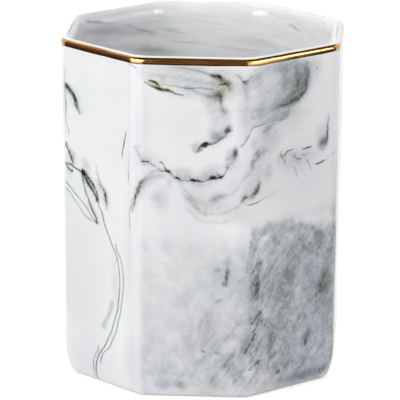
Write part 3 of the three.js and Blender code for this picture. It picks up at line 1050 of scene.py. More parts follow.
CLOUD_WASHES = (
    Wash("cloud's crest", (30, 47.6), (12, 2.6), 0.04, -9),
    Wash("crest's dark", (43.6, 44.7), (2.4, 1.6), 0.14, -18),
    Wash("crest's middle", (39.6, 47.2), (2.4, 1.3), 0.08),
    Wash("curl's mist", (32.4, 36.8), (4, 5.4), 0.22, -14),
    Wash("edge dark", (45.5, 29.8), (2.5, 5.4), 0.28, -6),
    Wash("edge light", (47.6, 12), (2, 6), -0.1),
    Wash("corner line's light", (17, 42), (2, 6), -0.06),
    Wash("low middle mist", (24.4, 13), (4, 2.6), 0.15),
    Wash("right of the low spot", (26.8, 8.8), (2, 2), 0.12),
    Wash("right foot's upper dark", (31, 10.8), (4, 2), 0.1),
    Wash("middle's lower mist", (31, 26), (2, 5), 0.06),
    Wash("front low mist", (3.6, 25), (2.2, 3), 0.1),
    # painted light: these two lighten the foot's edge, where its rounding turns down and away from
    # the lamps
    Wash("painted light on the foot's edge", (-2, 0.4), (20, 1.2), -0.1),
    Wash("painted light on the foot's corner", (18.6, 3.4), (2.4, 2.2), -0.14),
    Wash("front foot's right", (12, 8.4), (2.6, 3), 0.14),
    Wash("front left light", (-11.6, 42), (5, 7), -0.05),
    Wash("edge dark's skirt", (42.6, 27.6), (3, 8.4), 0.18, -6),
    Wash("corner dark", (19.2, 33), (1.2, 3.6), 0.4, -4),
    Wash("corner's skirt", (21, 33), (4.5, 5), 0.11),
    Wash("corner's fleck", (20.2, 40.2), (0.9, 0.5), 0.24, 30),
    Wash("corner's low fleck", (17.9, 38), (0.6, 1), 0.28),
    Wash("middle dark", (28, 32), (3.6, 5.6), 0.15, -30),
    Wash("middle's foot", (31.6, 29), (3, 6), 0.12, -10),
    Wash("stroke's mist", (19.2, 23.4), (2, 3.4), 0.12, -30),
    Wash("second stroke's mist", (15.4, 17.4), (1.8, 3.4), 0.13, -30),
    Wash("middle low", (25, 18.4), (5, 3), 0.15, 35),
    Wash("low left", (11.4, 12), (4.6, 2.4), 0.03, 45),
    Wash("low spot", (27.9, 6.5), (1.2, 0.8), 0.3, 20),
    Wash("far spot", (38.5, 13.2), (0.8, 1.4), 0.3),
    Wash("foot's edge dark", (41, 3.6), (9, 2.4), 0.2, 4),
    Wash("left border", (16.4, 27), (1.6, 16), 0.1),
    Wash("crest's pale side", (20, 43.4), (5.5, 7), -0.13, 10),
    Wash("crest's light", (32.4, 46.8), (5, 3.4), -0.21),
    Wash("crest's left light", (23.2, 47.6), (4, 2.4), -0.13),
    Wash("crest's inner light", (25, 41), (2.4, 5), -0.08),
    Wash("corner line's low dark", (14.6, 14), (1.6, 7), 0.1),
    Wash("low right dark", (39.6, 14), (4, 2.8), 0.14, 30),
    Wash("front spot's top", (10, 41.4), (1.8, 2), 0.13),
    Wash("front's light patch", (8, 27), (6, 8), -0.05),
    Wash("crest's right light", (46.6, 45.5), (3, 6), -0.13),
    Wash("light by the strokes", (22.4, 27), (2.6, 4), -0.17, -20),
    Wash("corner's pale foot", (16.6, 8.6), (2.6, 3.2), -0.24),
    Wash("front's light run", (11.6, 20), (3, 9), -0.07, -30),
    Wash("corner's upper dark", (19.7, 39.8), (2, 2.6), 0.24),
    Wash("far foot dark", (45.8, 3), (3, 2), 0.36, 30),
    Wash("far foot's upper dark", (42.4, 8.4), (2.4, 2.4), 0.1),
    Wash("right foot dark", (36, 2.6), (11, 2.2), 0.34),
    Wash("front foot dark", (-9, 3.6), (3.4, 2), 0.22),
    Wash("front foot grain", (7, 4.4), (4, 2.2), 0.1),
    Wash("low middle dark", (29, 17.6), (6, 4), 0.1, 20),
    Wash("front left shade", (-12.6, 20), (4, 10), 0.05),
    Wash("lilac light", (43, 11), (4.6, 8), -0.1),
    Wash("pale foot", (21.6, 5.6), (4, 4), -0.12, 30),
    Wash("front spot", (9.7, 37), (0.8, 3), 0.42, -4),
    Wash("front spot's left", (7.1, 38.4), (1.2, 1), 0.18),
    Wash("front spot's foot", (8.9, 34.4), (1.1, 0.9), 0.36),
    Wash("front spot's mist", (8, 38), (4.4, 4.6), 0.11),
    Wash("front ring", (7.2, 29.4), (1.4, 0.7), 0.2, 30),
    Wash("front run", (1.8, 21.3), (0.9, 2.6), 0.14, -20),
    Wash("front dot", (2.9, 14.4), (0.8, 0.6), 0.28),
    Wash("front second dot", (6.9, 13.9), (0.9, 0.6), 0.17),
    Wash("front grain", (2, 11), (4.6, 1.6), 0.07, 40),
    Wash("front second run", (9, 18), (2.4, 8), 0.06, -42),
    Wash("front blue", (-9.5, 8), (3.4, 5), 0.07, -20),
    Wash("front foot spots", (-4, 3.8), (2.2, 1.8), 0.4, -20),
    Wash("front pale run", (0, 27), (3, 9), -0.05, -40),
)

# A tint for each soft place: the glaze there is multiplied by it
TINTS = (
    (Wash("olive by the dash", (-9.5, 91.8), (6, 2.4), 1.0, -20), tone(255, 250, 214)),
    (Wash("olive by the knot", (8.4, 91), (4.4, 6), 0.8), tone(255, 253, 232)),
    (Wash("olive by the twist", (18, 61), (4, 4), 1.0), tone(255, 253, 240)),
    (Wash("sea green by the arc", (33, 89), (7, 8), 1.0), tone(240, 250, 246)),
    (Wash("sea green by the fan", (-37, 57), (6, 8), 0.8), tone(242, 251, 252)),
    (Wash("sea green on the crest", (27, 44), (14, 9), 1.0), tone(245, 252, 249)),
    (Wash("lilac low on the right", (41, 10), (12, 17), 1.0), tone(241, 242, 255)),
    (Wash("lilac on the edge", (39, 33), (6, 9), 0.8), tone(243, 244, 255)),
    (Wash("lilac low on the left", (-42, 34), (12, 22), 0.8), tone(250, 249, 255)),
    (Wash("blue low in front", (-8, 8), (9, 9), 1.0), tone(252, 254, 254)),
    (Wash("cream under the bowl", (3, 56), (14, 7), 1.0), tone(255, 254, 248)),
)

INNER_VEINS = (
    Vein("inner streak", ACROSS, ((-95, 96.3), (-92, 96.7), (-87.5, 97.4), (-84.8, 97.7),
         (-83.4, 97.8)), 0.5, 0.62, (0.15, 0.4, 1, 0.9, 0.6), run_out=1),
    Vein("inner band", ACROSS, ((-116, 91.4), (-106, 92.2), (-98, 93.2), (-89, 94.2), (-82, 94.6)),
         1.1, 0.24, (0.2, 0.7, 1, 1, 0.3), run_out=6),
    Vein("inner teal band", ACROSS, ((-126, 85.2), (-119, 85.2), (-111, 86.2), (-103, 87.4),
         (-95, 89)), 1.4, 0.44, (0.05, 0.5, 1, 0.5, 0.2), run_out=6),
    Vein("inner upper streak", ACROSS, ((-113.3, 90.9), (-109.9, 91.9), (-106.4, 93),
         (-103.4, 93.9), (-100.9, 94.8)), 0.45, 0.26, (0.5, 1, 1, 0.8, 0.5), run_out=2,
         ragged=True),
    Vein("inner middle streak", ACROSS, ((-122.6, 91), (-120, 91.4), (-117.3, 91.8),
         (-114.2, 92.3)), 0.4, 0.17, (0.5, 1, 1, 0.5), run_out=3, ragged=True),
    Vein("inner low streak", ACROSS, ((-129.6, 87.8), (-125.3, 87.9), (-122, 88.1), (-119.3, 88.2)),
         0.35, 0.16, (0.5, 1, 1, 0.5), run_out=3, ragged=True),
    Vein("inner right streak", ACROSS, ((117.8, 86), (122.4, 86.2), (126.5, 86.7), (130.1, 87)),
         0.35, 0.16, (0.5, 1, 1, 0.5), run_out=3, ragged=True),
    Vein("inner slant", ACROSS, ((108, 87.6), (114, 89), (120, 90.4), (127, 92.2), (132, 94)), 0.7,
         0.05, (0.4, 1, 1, 0.8, 0.3), run_out=5),
    Vein("inner right band", ACROSS, ((112, 88), (118, 88.4), (124, 88.4), (130, 88.8)), 1, 0.06,
         (0.5, 1, 1, 0.4), run_out=4),
    Vein("inner right mark", ACROSS, ((97.3, 94.8), (99.5, 95.2), (102.7, 95.8)), 0.5, 0.42, (0.4,
         1, 0.7), run_out=0.8),
)

INNER_WASHES = (
    Wash("inner left dark", (-92, 95.6), (7, 3), 0.11),
    Wash("inner right top", (106, 98.4), (12, 2), 0.09),
    Wash("inner low dark", (-112, 84), (12, 3), 0.08, 8),
)


# The finishes


class Finish:
    """A material under way: its graph, its place on the object and its shader."""

    def __init__(self, name: str, effects: Effects) -> None:
        """Starts the material.

        Args:
            name: The material's name.
            effects: The shared groups.
        """
        self.material, self.graph = new_material(name)
        self.effects = effects
        self.shader = self.material.node_tree.nodes["Principled BSDF"]
        self.place = self.graph.node("ShaderNodeTexCoord").outputs["Object"]
        self.millimetres = self.graph.millimetres(self.place)

    def set(self, **values: Value) -> None:
        """Writes or links the shader's inputs, given by name with _ for a space."""
        for name, value in values.items():
            self.graph.feed(self.shader.inputs[name.replace("_", " ").title()], value)

    def noise(self, lumps: Lumps, output: str = "Fac") -> Socket:
        """A noise texture's value or colour at the place on the object."""
        return self.graph.noise(self.millimetres, lumps, output)

    def wall(self) -> list[Socket]:
        """The place round the unrolled wall and up it."""
        return self.graph.use(self.effects.unrolled, position=self.place)

    def wander(self, around: Value, height: Value, bend: float, shiver: float) -> list[Socket]:
        """A place on the unrolled wall, shifted as wet glaze is.

        Args:
            around: The place round the wall.
            height: The place up the wall.
            bend: The reach of the slow bends, mm.
            shiver: The reach of the fine shivers, mm.

        Returns:
            The shifted place round and up.
        """
        shifts = {"bend": bend, "shiver": shiver}
        wander, place = self.effects.wander, self.place
        return self.graph.use(wander, position=place, around=around, height=height, **shifts)

    def glaze(self, ink: Value) -> Socket:
        """The glaze's colour for an amount of ink."""
        return self.graph.use(self.effects.glaze_colour, position=self.place, ink=ink)[0]

    def fire(self, skin: Skin) -> None:
        """Gives the surface its fired ripple, grain and gloss."""
        height, roughness = self.graph.use(
            self.effects.fired_skin,
            position=self.place,
            ripple=skin.ripple,
            grain=skin.grain,
            gloss=skin.gloss,
            change=skin.change,
        )
        self.set(roughness=roughness)
        inputs = {"Height": height, "Strength": skin.strength, "Distance": skin.depth}
        self.set(normal=self.graph.node("ShaderNodeBump", inputs).outputs[0])


@dataclass(frozen=True)
class Skin:
    """How rippled, grainy and glossy a fired surface is."""

    gloss: float
    ripple: float = 1.0
    grain: float = 0.05
    change: float = 0.1  # how far the gloss varies
    strength: float = 0.6
    depth: float = 0.0002  # metres for a height of 1


@dataclass(frozen=True)
class Wipe:
    """Marks left where the glaze was wiped on, rising to the right."""

    slant: float  # degrees
    scale: Triple  # lumps to the millimetre along the marks and across them

    def drawn(self, g: Graph, spot: Value) -> Socket:
        """Noise drawn out along the marks, at a place on the unrolled wall."""
        turned = g.turned(spot, -math.radians(self.slant))
        return g.noise(g.vector("MULTIPLY", turned, self.scale), Lumps.WIPED)


@dataclass(frozen=True)
class Clouds:
    """The blue-grey cloud low on the right face and its thinner run over the front face.

    The eases that are named for a side read the place round the wall. The others read what their
    comments say.
    """

    edge_wander: float = 5.0  # how far the clouds' upper edges stray, mm
    steep_wipe: Wipe = Wipe(52, (0.09, 0.42, 1.0))
    fine_wipe: Wipe = Wipe(50, (0.16, 1.1, 1.0))
    steep_marks: Ease = Ease(0.5, 0.72)  # reads the steep wipe
    fine_marks: Ease = Ease(0.5, 0.72, 0.0, 0.7)  # reads the fine wipe
    right_of_corner: Ease = Ease(15.7, 17.4)
    left_of_corner: Ease = Ease(17.4, 15.7)

    crest_rise: Ease = Ease(15, 28, 51.4, 51.6)  # the crest's height
    crest_fall: Ease = Ease(33, 49, 0.0, 3.6, soft=False)  # what it loses towards the far side
    right_edge: Ease = Ease(-1.0, 3.0)  # reads millimetres below the crest
    right_mottle: Ease = Ease(0.35, 0.66, 0.23, 0.5, soft=False)  # reads the mottle
    right_dapple: Ease = Ease(0.3, 0.7, -0.04, 0.1, soft=False)  # reads the dapple
    right_thinning: Ease = Ease(16, 27, -0.07, 0.0)
    right_streaks: Ease = Ease(17, 34, 0.25, 0.11)

    front_top: float = 48.5  # the height of the front run's upper edge, mm
    front_edge: Ease = Ease(-2.5, 5.0)  # reads millimetres below that height
    front_left: Ease = Ease(-17, -14)
    front_depth: Ease = Ease(46.0, 8.0, 0.125, 0.16, soft=False)  # reads the height
    lean: float = 0.8  # how far the darker part leans, mm round for each mm up
    lean_reach: Ease = Ease(-34, 16)  # reads the place round less the lean
    lean_ink: float = 0.13
    lean_streaks: float = 1.9
    front_mottle: Ease = Ease(0.35, 0.66, 0.6, 1.4, soft=False)  # reads the mottle

    wash_flecks: Ease = Ease(0.35, 0.65, 0.7, 1.3, soft=False)  # reads the flecks
    flecks: Ease = Ease(0.55, 0.74, 0.0, 0.22)  # reads the flecks
    # painted light at the foot: the clouds' ink thins towards the ground, so the foot's downturned
    # rounding shows lighter
    foot_painted_light: Ease = Ease(0.5, 7.0, 0.5, 1.0)  # reads the height

    def drawn(self, work: Finish, around: Value, height: Value, spot: Value) -> Socket:
        """Adds the clouds' nodes.

        Args:
            work: The material under way.
            around: The place round the wall.
            height: The place up the wall.
            spot: The same place as one vector, shifted as wet glaze is.

        Returns:
            Their ink, which thins towards the foot as painted light.
        """
        g = work.graph
        stray = g.times(g.minus(work.noise(Lumps.CLOUD_EDGE), NOISE_MIDDLE), self.edge_wander)
        mottle, fine = work.noise(Lumps.MOTTLE), work.noise(Lumps.CLOUD_FLECKS)
        streaks = g.plus(
            g.ease(self.steep_wipe.drawn(g, spot), self.steep_marks),
            g.ease(self.fine_wipe.drawn(g, spot), self.fine_marks),
        )
        right_side = g.ease(around, self.right_of_corner)
        front_side = g.ease(around, self.left_of_corner)

        crest = g.minus(g.ease(around, self.crest_rise), g.ease(around, self.crest_fall))
        below = g.minus(g.minus(crest, height), stray)
        right = g.times(g.ease(below, self.right_edge), right_side)
        dapple = work.noise(Lumps.CLOUD_DAPPLE)
        depths = (
            g.ease(mottle, self.right_mottle),
            g.ease(dapple, self.right_dapple),
            g.ease(around, self.right_thinning),
            g.times(streaks, g.ease(around, self.right_streaks)),
        )
        body = g.total(depths)

        under = g.minus(g.minus(self.front_top, height), stray)
        edge = g.ease(under, self.front_edge)
        front = g.times(edge, g.times(front_side, g.ease(around, self.front_left)))
        depth = g.ease(height, self.front_depth)
        leaning = g.minus(around, g.times(height, self.lean))
        lean = g.times(g.ease(leaning, self.lean_reach), self.lean_ink)
        veil = g.times(g.plus(depth, lean), g.ease(mottle, self.front_mottle))
        veil = g.plus(veil, g.times(streaks, lean, self.lean_streaks))

        detail = patches(g, work.effects, spot, CLOUD_WASHES)
        strewn = g.times(detail, g.ease(fine, self.wash_flecks))
        flecks = g.times(g.ease(fine, self.flecks), g.math("MAXIMUM", right, lean))
        spread = g.total((g.times(body, right), g.times(veil, front), strewn, flecks))
        # less ink towards the foot: painted light on its downturned rounding
        return g.times(spread, g.ease(height, self.foot_painted_light))


@dataclass(frozen=True)
class BackVein:
    """One level of the flow that shows as a vein on the sides and the back."""

    level: float
    breadth: float
    shown: Ease  # where round the cup it shows
    bleeds: Ease  # where it bleeds


@dataclass(frozen=True)
class BackMarbling:
    """Veins and clouds of the same kind, for the sides and the back."""

    start: Ease = Ease(1.5 * FACE_PITCH, 1.95 * FACE_PITCH)  # reads the distance from the front
    squash: Triple = (1.0, 1.0, 0.5)
    push: Triple = (46.0, 46.0, 46.0)  # how far the flow is bent, mm
    veins: tuple[BackVein, ...] = (
        BackVein(0.5, 0.006, Ease(0.44, 0.66), Ease(0.48, 0.72)),
        BackVein(0.57, 0.004, Ease(0.38, 0.6), Ease(0.42, 0.66)),
        BackVein(0.43, 0.004, Ease(0.5, 0.6), Ease(0.54, 0.66)),
    )
    vein_ink: float = 0.6
    bleed: Ease = Ease(0.0, 0.05, 0.22, 0.0)  # reads how far past a vein's level the flow is
    bleed_start: Ease = Ease(-0.003, 0.001)
    fog: Ease = Ease(0.47, 0.6)
    fog_mottle: Ease = Ease(0.33, 0.68, 0.1, 0.4, soft=False)
    grain: Ease = Ease(0.3, 0.62, 0.35, 1.2, soft=False)

    def drawn(self, work: Finish, around: Value) -> Socket:
        """Adds the nodes and gives the ink."""
        g = work.graph
        share = g.ease(g.math("ABSOLUTE", around), self.start)
        bend = work.noise(Lumps.BACK_BEND, "Color")
        tall = g.vector("MULTIPLY", work.millimetres, self.squash)
        flow = g.noise(g.vector("MULTIPLY_ADD", bend, self.push, tall), Lumps.BACK_FLOW)
        where, mottle = work.noise(Lumps.BACK_PLACES), work.noise(Lumps.MOTTLE)
        grain = work.noise(Lumps.GLAZE_GRAIN)
        dark = []
        for vein in self.veins:
            off = g.minus(flow, vein.level)
            near = g.ease(g.math("ABSOLUTE", off), Ease(vein.breadth, 0.0))
            line = g.times(near, g.ease(where, vein.shown))
            bleed = g.times(g.ease(off, self.bleed), g.ease(off, self.bleed_start))
            dark += [g.times(line, self.vein_ink), g.times(bleed, g.ease(where, vein.bleeds))]
        low_field = work.noise(Lumps.BACK_FOG)
        fog = g.times(g.ease(low_field, self.fog), g.ease(mottle, self.fog_mottle))
        torn = g.times(g.total(dark), g.ease(grain, self.grain))
        return g.times(g.plus(torn, fog), share)


@dataclass(frozen=True)
class MarbledGlaze:
    """The white glaze of the outside, with dark veins and blue-grey clouds."""

    effects: Effects
    skin: Skin = Skin(gloss=0.2)
    clouds: Clouds = Clouds()
    back: BackMarbling = BackMarbling()
    bend: float = 0.8  # the reach of the slow bends, mm
    shiver: float = 0.85  # the reach of the shivers in what is torn, mm
    tremor: float = 0.35  # and in the calm threads, mm
    combing: Triple = (1.5, 0.16, 1.0)
    hair: float = 0.7  # how far fine hairs lift the torn veins, mm
    front_end: Ease = Ease(1.9 * FACE_PITCH, 1.5 * FACE_PITCH)  # reads the distance from the front
    torn_grain: Ease = Ease(0.3, 0.62, 0.35, 1.35, soft=False)
    thread_grain: Ease = Ease(0.3, 0.62, 0.65, 1.15, soft=False)
    patch_grain: Ease = Ease(0.28, 0.68, 0.82, 1.18, soft=False)
    patch_wipe: Wipe = Wipe(24, (0.12, 0.8, 1.0))
    patch_marks: Ease = Ease(0.34, 0.66, 0.8, 1.2, soft=False)
    below_lip: Ease = Ease(99.4, 98.2)  # reads the height: the crown of the lip stays bare
    tinted: Ease = Ease(0.04, 0.3)  # reads the ink: bare white takes no tint

    def make(self) -> bpy.types.Material:
        """Builds the material."""
        work = Finish("marbled glaze", self.effects)
        g, effects = work.graph, self.effects
        wall = work.wall()
        around, height = self._turned_behind(g, *wall)
        torn_around, torn_height = work.wander(around, height, self.bend, self.shiver)
        calm = work.wander(around, height, self.bend, self.tremor)
        spot = g.xyz(torn_around, torn_height)
        grain = work.noise(Lumps.GLAZE_GRAIN)
        combed = g.vector("MULTIPLY", g.xyz(around, height), self.combing)
        hair = g.times(g.minus(g.noise(combed, Lumps.COMBED), NOISE_MIDDLE), self.hair)
        ragged = self._lines(g, True, torn_around, g.plus(torn_height, hair))
        threads = self._lines(g, False, *calm)
        small = patches(g, effects, spot, SMALL_WASHES)
        clouds = self.clouds.drawn(work, around, height, spot)
        back = self.back.drawn(work, around)
        front_share = g.ease(g.math("ABSOLUTE", around), self.front_end)
        front = g.total(
            (
                g.times(ragged, g.ease(grain, self.torn_grain)),
                g.times(threads, g.ease(grain, self.thread_grain)),
                g.times(small, self._wiped(g, grain, spot)),
                patches(g, effects, spot, VEILS),
                clouds,
            )
        )
        below_lip = g.ease(wall[1], self.below_lip)
        ink = g.math("MULTIPLY", g.line(front, front_share, back), below_lip, clamp=True)
        colour = work.glaze(ink)
        inked = g.ease(ink, self.tinted)
        for wash, shade in TINTS:
            share = g.times(wash.drawn(g, effects, spot), inked)
            colour = g.mix(share, colour, g.mix(1.0, colour, shade, "MULTIPLY"))
        work.set(base_color=colour)
        work.fire(self.skin)
        return work.material

    def _turned_behind(self, g: Graph, around: Value, height: Value) -> tuple[Socket, Socket]:
        """The place in the pattern. The back carries the front's pattern turned upside down.

        Args:
            g: The graph to draw in.
            around: The place round the wall.
            height: The place up the wall.

        Returns:
            The place round and up in the pattern.
        """
        quarter, half = SIDES / 4 * FACE_PITCH, SIDES / 2 * FACE_PITCH
        behind = g.math("GREATER_THAN", g.math("ABSOLUTE", around), quarter)
        far = g.times(g.math("SIGN", around), half)
        turned = g.line(behind, g.line(around, -2.0, far), around)
        flipped = g.line(behind, g.line(height, -2.0, CUP_HEIGHT), height)
        return turned, flipped

    def _wiped(self, g: Graph, grain: Value, spot: Value) -> Socket:
        """How the soft patches vary: a little grain and longer, faint wipe marks."""
        marks = g.ease(self.patch_wipe.drawn(g, spot), self.patch_marks)
        return g.times(g.ease(grain, self.patch_grain), marks)

    def _lines(self, g: Graph, ragged: bool, around: Value, height: Value) -> Socket:
        """All the torn veins or all the calm ones, summed."""
        veins = LEFT_FACE_VEINS + FRONT_FACE_VEINS + RIGHT_FACE_VEINS
        chosen = (vein for vein in veins if vein.ragged is ragged)
        return g.total(vein.drawn(g, self.effects, around, height) for vein in chosen)


@dataclass(frozen=True)
class InnerGlaze:
    """The glaze of the inside, where the colours ran in level layers."""

    effects: Effects
    skin: Skin = Skin(gloss=0.18)
    paleness: float = 0.3
    bend: float = 1.0  # mm
    shiver: float = 0.5  # mm
    slope: float = 0.1  # how far the layers rise to the left, for each mm across
    layer_scale: Triple = (0.022, 0.022, 0.17)
    layers: tuple[tuple[Lumps, Ease], ...] = (
        (Lumps.LAYERS, Ease(0.46, 0.7, 0.0, 0.055)),
        (Lumps.FINE_LAYERS, Ease(0.45, 0.65, 0.0, 0.07)),
        (Lumps.FINEST_LAYERS, Ease(0.45, 0.65, 0.0, 0.055)),
    )
    leftward: Ease = Ease(2.0, -34.0, 0.0, 0.2)
    deep: Ease = Ease(60.0, 12.0, 0.0, 0.01)
    lip: Ease = Ease(95.5, 99.0, 1.0, 1.1)

    def make(self) -> bpy.types.Material:
        """Builds the material."""
        work = Finish("inner glaze", self.effects)
        g = work.graph
        moved = work.wander(*work.wall(), self.bend, self.shiver)
        lines = g.total(vein.drawn(g, self.effects, *moved) for vein in INNER_VEINS)
        marks = patches(g, self.effects, g.xyz(*moved), INNER_WASHES)
        x, y, z = g.parts(work.millimetres)
        scaled = zip((x, y, g.plus(z, g.times(x, self.slope))), self.layer_scale)
        layered = g.xyz(*(g.times(part, scale) for part, scale in scaled))
        kinds = [g.noise(layered, lumps) for lumps, _ in self.layers]
        flow = g.total([g.ease(kind, ease) for kind, (_, ease) in zip(kinds, self.layers)])
        leftward, deep, lip = g.ease(x, self.leftward), g.ease(z, self.deep), g.ease(z, self.lip)
        ink = g.total((g.times(g.total((flow, leftward, deep)), lip), lines, marks))
        work.set(base_color=g.mix(self.paleness, work.glaze(ink), tone(255, 255, 255)))
        work.fire(self.skin)
        return work.material


@dataclass(frozen=True)
class GoldLustre:
    """Gold fired onto the lip by brush: polished and uneven, with painted shade along its lower
    edge.
    """

    effects: Effects
    skin: Skin = Skin(gloss=0.14, grain=0.01, change=0.08, strength=0.5, depth=0.0001)
    bright: Tone = (0.69, 0.42, 0.155, 1.0)
    deep: Tone = (0.5, 0.265, 0.09, 1.0)
    # painted shade: the gold darkens to this along its lower edge, where a thin line of shadow lies
    painted_edge_shade: Tone = (0.2, 0.09, 0.03, 1.0)
    stroke_stretch: Triple = (0.4, 0.4, 4.0)
    stroke_shades: Ease = Ease(0.35, 0.65)
    edge_height: float = 97.75  # mm
    edge_sway: float = 0.3
    edge_shade_fade: Ease = Ease(0.5, 0.0)  # reads millimetres above the lower edge

    def make(self) -> bpy.types.Material:
        """Builds the material."""
        work = Finish("gold lustre", self.effects)
        g = work.graph
        z = g.parts(work.millimetres)[2]
        along = g.vector("MULTIPLY", work.millimetres, self.stroke_stretch)
        strokes = g.noise(along, Lumps.GOLD_STROKES)
        gold = g.mix(g.ease(strokes, self.stroke_shades), self.deep, self.bright)
        uneven = g.line(strokes, self.edge_sway, self.edge_height)
        # the painted shade's mask: full at the lower edge, gone half a millimetre up
        edge = g.ease(g.minus(z, uneven), self.edge_shade_fade)
        work.set(base_color=g.mix(edge, gold, self.painted_edge_shade), metallic=1.0)
        work.fire(self.skin)
        return work.material


@dataclass(frozen=True)
class BareClay:
    """The unglazed clay of the foot: pale, matt and speckled, rubbed darker where it stands."""

    effects: Effects
    skin: Skin = Skin(gloss=0.82, ripple=0.2, grain=1.0, change=0.2, strength=0.7, depth=0.0003)
    speckle: tuple[tuple[float, Tone], ...] = (
        (0.3, tone(186, 178, 166)),
        (0.45, tone(218, 212, 202)),
        (0.7, tone(228, 224, 216)),
    )
    rubbed: Tone = tone(190, 184, 173)
    wear: Ease = Ease(0.45, 0.7, 0.0, 0.45)

    def make(self) -> bpy.types.Material:
        """Builds the material."""
        work = Finish("bare clay", self.effects)
        g = work.graph
        clay = g.ramp(work.noise(Lumps.CLAY_SPECKLE), self.speckle)
        worn = g.ease(work.noise(Lumps.CLAY_WEAR), self.wear)
        work.set(base_color=g.mix(worn, clay, self.rubbed))
        work.fire(self.skin)
        return work.material


# The pieces


def join(piece: bpy.types.Object, node: str) -> None:
    """Puts a piece on the cup's one body, and hides the solid that it stands in for.

    Args:
        piece: The piece.
        node: The name of the solid.
    """
    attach(piece, "root")
    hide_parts(node)
    log.info("%s: %d faces, in place of %s", piece.name, len(piece.data.polygons), node)


@dataclass
class GlazedCup:
    """The glazed body: foot edge, wall, lip, inside and the hollow under the floor."""

    form: CupForm
    foot_steps: int = 12
    wall_steps: int = 16
    lip_steps: int = 9
    fillet_steps: int = 12
    hollow_share: float = 0.55  # how far in the hollow's last ring lies, of half the base
    hollow_round: Place = (0.5, 0.05)  # how the hollow's edge is rounded, in and down
    floor_share: float = 0.6  # how far in the floor's last ring lies, of half the base
    floor_corner: float = 0.8  # its corners' radius, of the inner corners'

    def build(self) -> bpy.types.Object:
        """Makes the closed mesh, outside first and then the inside."""
        outside = self._under() + self._wall() + self._crown()
        inside = self._inner_edge() + self._inside()
        slots = [0] * (len(outside) - 1) + [1] * len(inside)
        return Loft("glazed_cup", outside + inside, slots=slots).build()

    def dress(self, piece: bpy.types.Object, outer: MarbledGlaze, inner: InnerGlaze) -> None:
        """Gives the outside and the inside their glazes."""
        piece.data.materials.append(outer.make())
        piece.data.materials.append(inner.make())

    def _under(self) -> Rings:
        """The hollow, the seat of the bare ring and the foot's edge."""
        form = self.form
        inward, down = self.hollow_round
        edge = form.mouth + form.recess_slope
        bare = form.mouth + form.recess_slope * (form.bare_height / form.recess_depth)
        rings = [
            form.ring(inset, z, form.inner_corner)
            for inset, z in (
                (form.half_width(0) * self.hollow_share, form.recess_depth),
                (edge + inward, form.recess_depth),
                (edge, form.recess_depth - down),
                (bare, form.bare_height),
            )
        ]
        turns = steps(form.foot_turn(form.bare_height), math.pi / 2, self.foot_steps)
        return rings + [form.layer_ring(*form.foot_place(turn)) for turn in turns]

    def _wall(self) -> Rings:
        """The outer wall, from above the foot's edge to below the lip."""
        form = self.form
        heights = steps(form.foot_height, form.height - form.lip_outer, self.wall_steps)
        return [form.layer_ring(0, z) for z in heights[1:-1]]

    def _crown(self) -> Rings:
        """The lip's outer edge, up to its crown."""
        turns = steps(0, math.pi / 2, self.lip_steps)
        return [self.form.layer_ring(*self.form.edge_place(0, turn)) for turn in turns]

    def _inner_edge(self) -> Rings:
        """The lip's inner edge, from the crown down."""
        form = self.form
        rings = []
        for turn in steps(math.pi / 2, 0, self.lip_steps):
            inset = form.wall - form.lip_inner * (1 - math.cos(turn))
            z = form.height - form.lip_inner_drop * (1 - math.sin(turn))
            rings.append(form.ring(inset, z, form.inner_corner))
        return rings

    def _inside(self) -> Rings:
        """The inner wall, its fillet and the floor."""
        form = self.form
        top, foot = form.height - form.lip_inner_drop, form.floor + form.fillet
        rings = []
        for z in steps(top, foot, self.wall_steps)[1:]:
            inset = form.wall + form.wall_gain * (top - z) / (top - foot)
            rings.append(form.ring(inset, z, form.inner_corner))
        for turn in steps(0, math.pi / 2, self.fillet_steps)[1:]:
            inset = form.wall + form.wall_gain + form.fillet * (1 - math.cos(turn))
            rings.append(form.ring(inset, foot - form.fillet * math.sin(turn), form.inner_corner))
        inset, corner = form.half_width(0) * self.floor_share, form.inner_corner * self.floor_corner
        return rings + [form.ring(inset, form.floor, corner)]


@dataclass
class FootRing:
    """The ring of bare clay that the cup stands on."""

    form: CupForm
    seat: float = 0.06  # how far it reaches up into the body
    rub: float = 0.12  # how far its edges are rubbed round
    outer_overlap: float = 0.3  # how far out its top reaches past the foot's inset
    inner_overlap: float = 0.2  # and past the hollow's slope

    def build(self) -> bpy.types.Object:
        """Makes the closed ring."""
        form = self.form
        slope = form.recess_slope / form.recess_depth
        inner = form.mouth + slope * form.bare_height
        top = form.bare_height + self.seat
        rings = [
            form.ring(form.mouth + slope * self.rub, self.rub, form.inner_corner),
            form.ring(form.mouth - self.rub, 0.0, form.inner_corner),
        ]
        for z in (0.0, self.rub / 2, self.rub, form.bare_height):
            inset, _ = form.foot_place(form.foot_turn(z))
            rings.append(form.layer_ring(inset + (0 if z else self.rub), z))
        rings.append(form.layer_ring(form.foot_inset - self.outer_overlap, top))
        rings.append(form.ring(inner - self.inner_overlap, top, form.inner_corner))
        rings.append(form.ring(inner, form.bare_height, form.inner_corner))
        return Loft("foot_ring", rings, closed_section=True).build()

    def dress(self, piece: bpy.types.Object, clay: BareClay) -> None:
        """Gives the ring its clay."""
        piece.data.materials.append(clay.make())


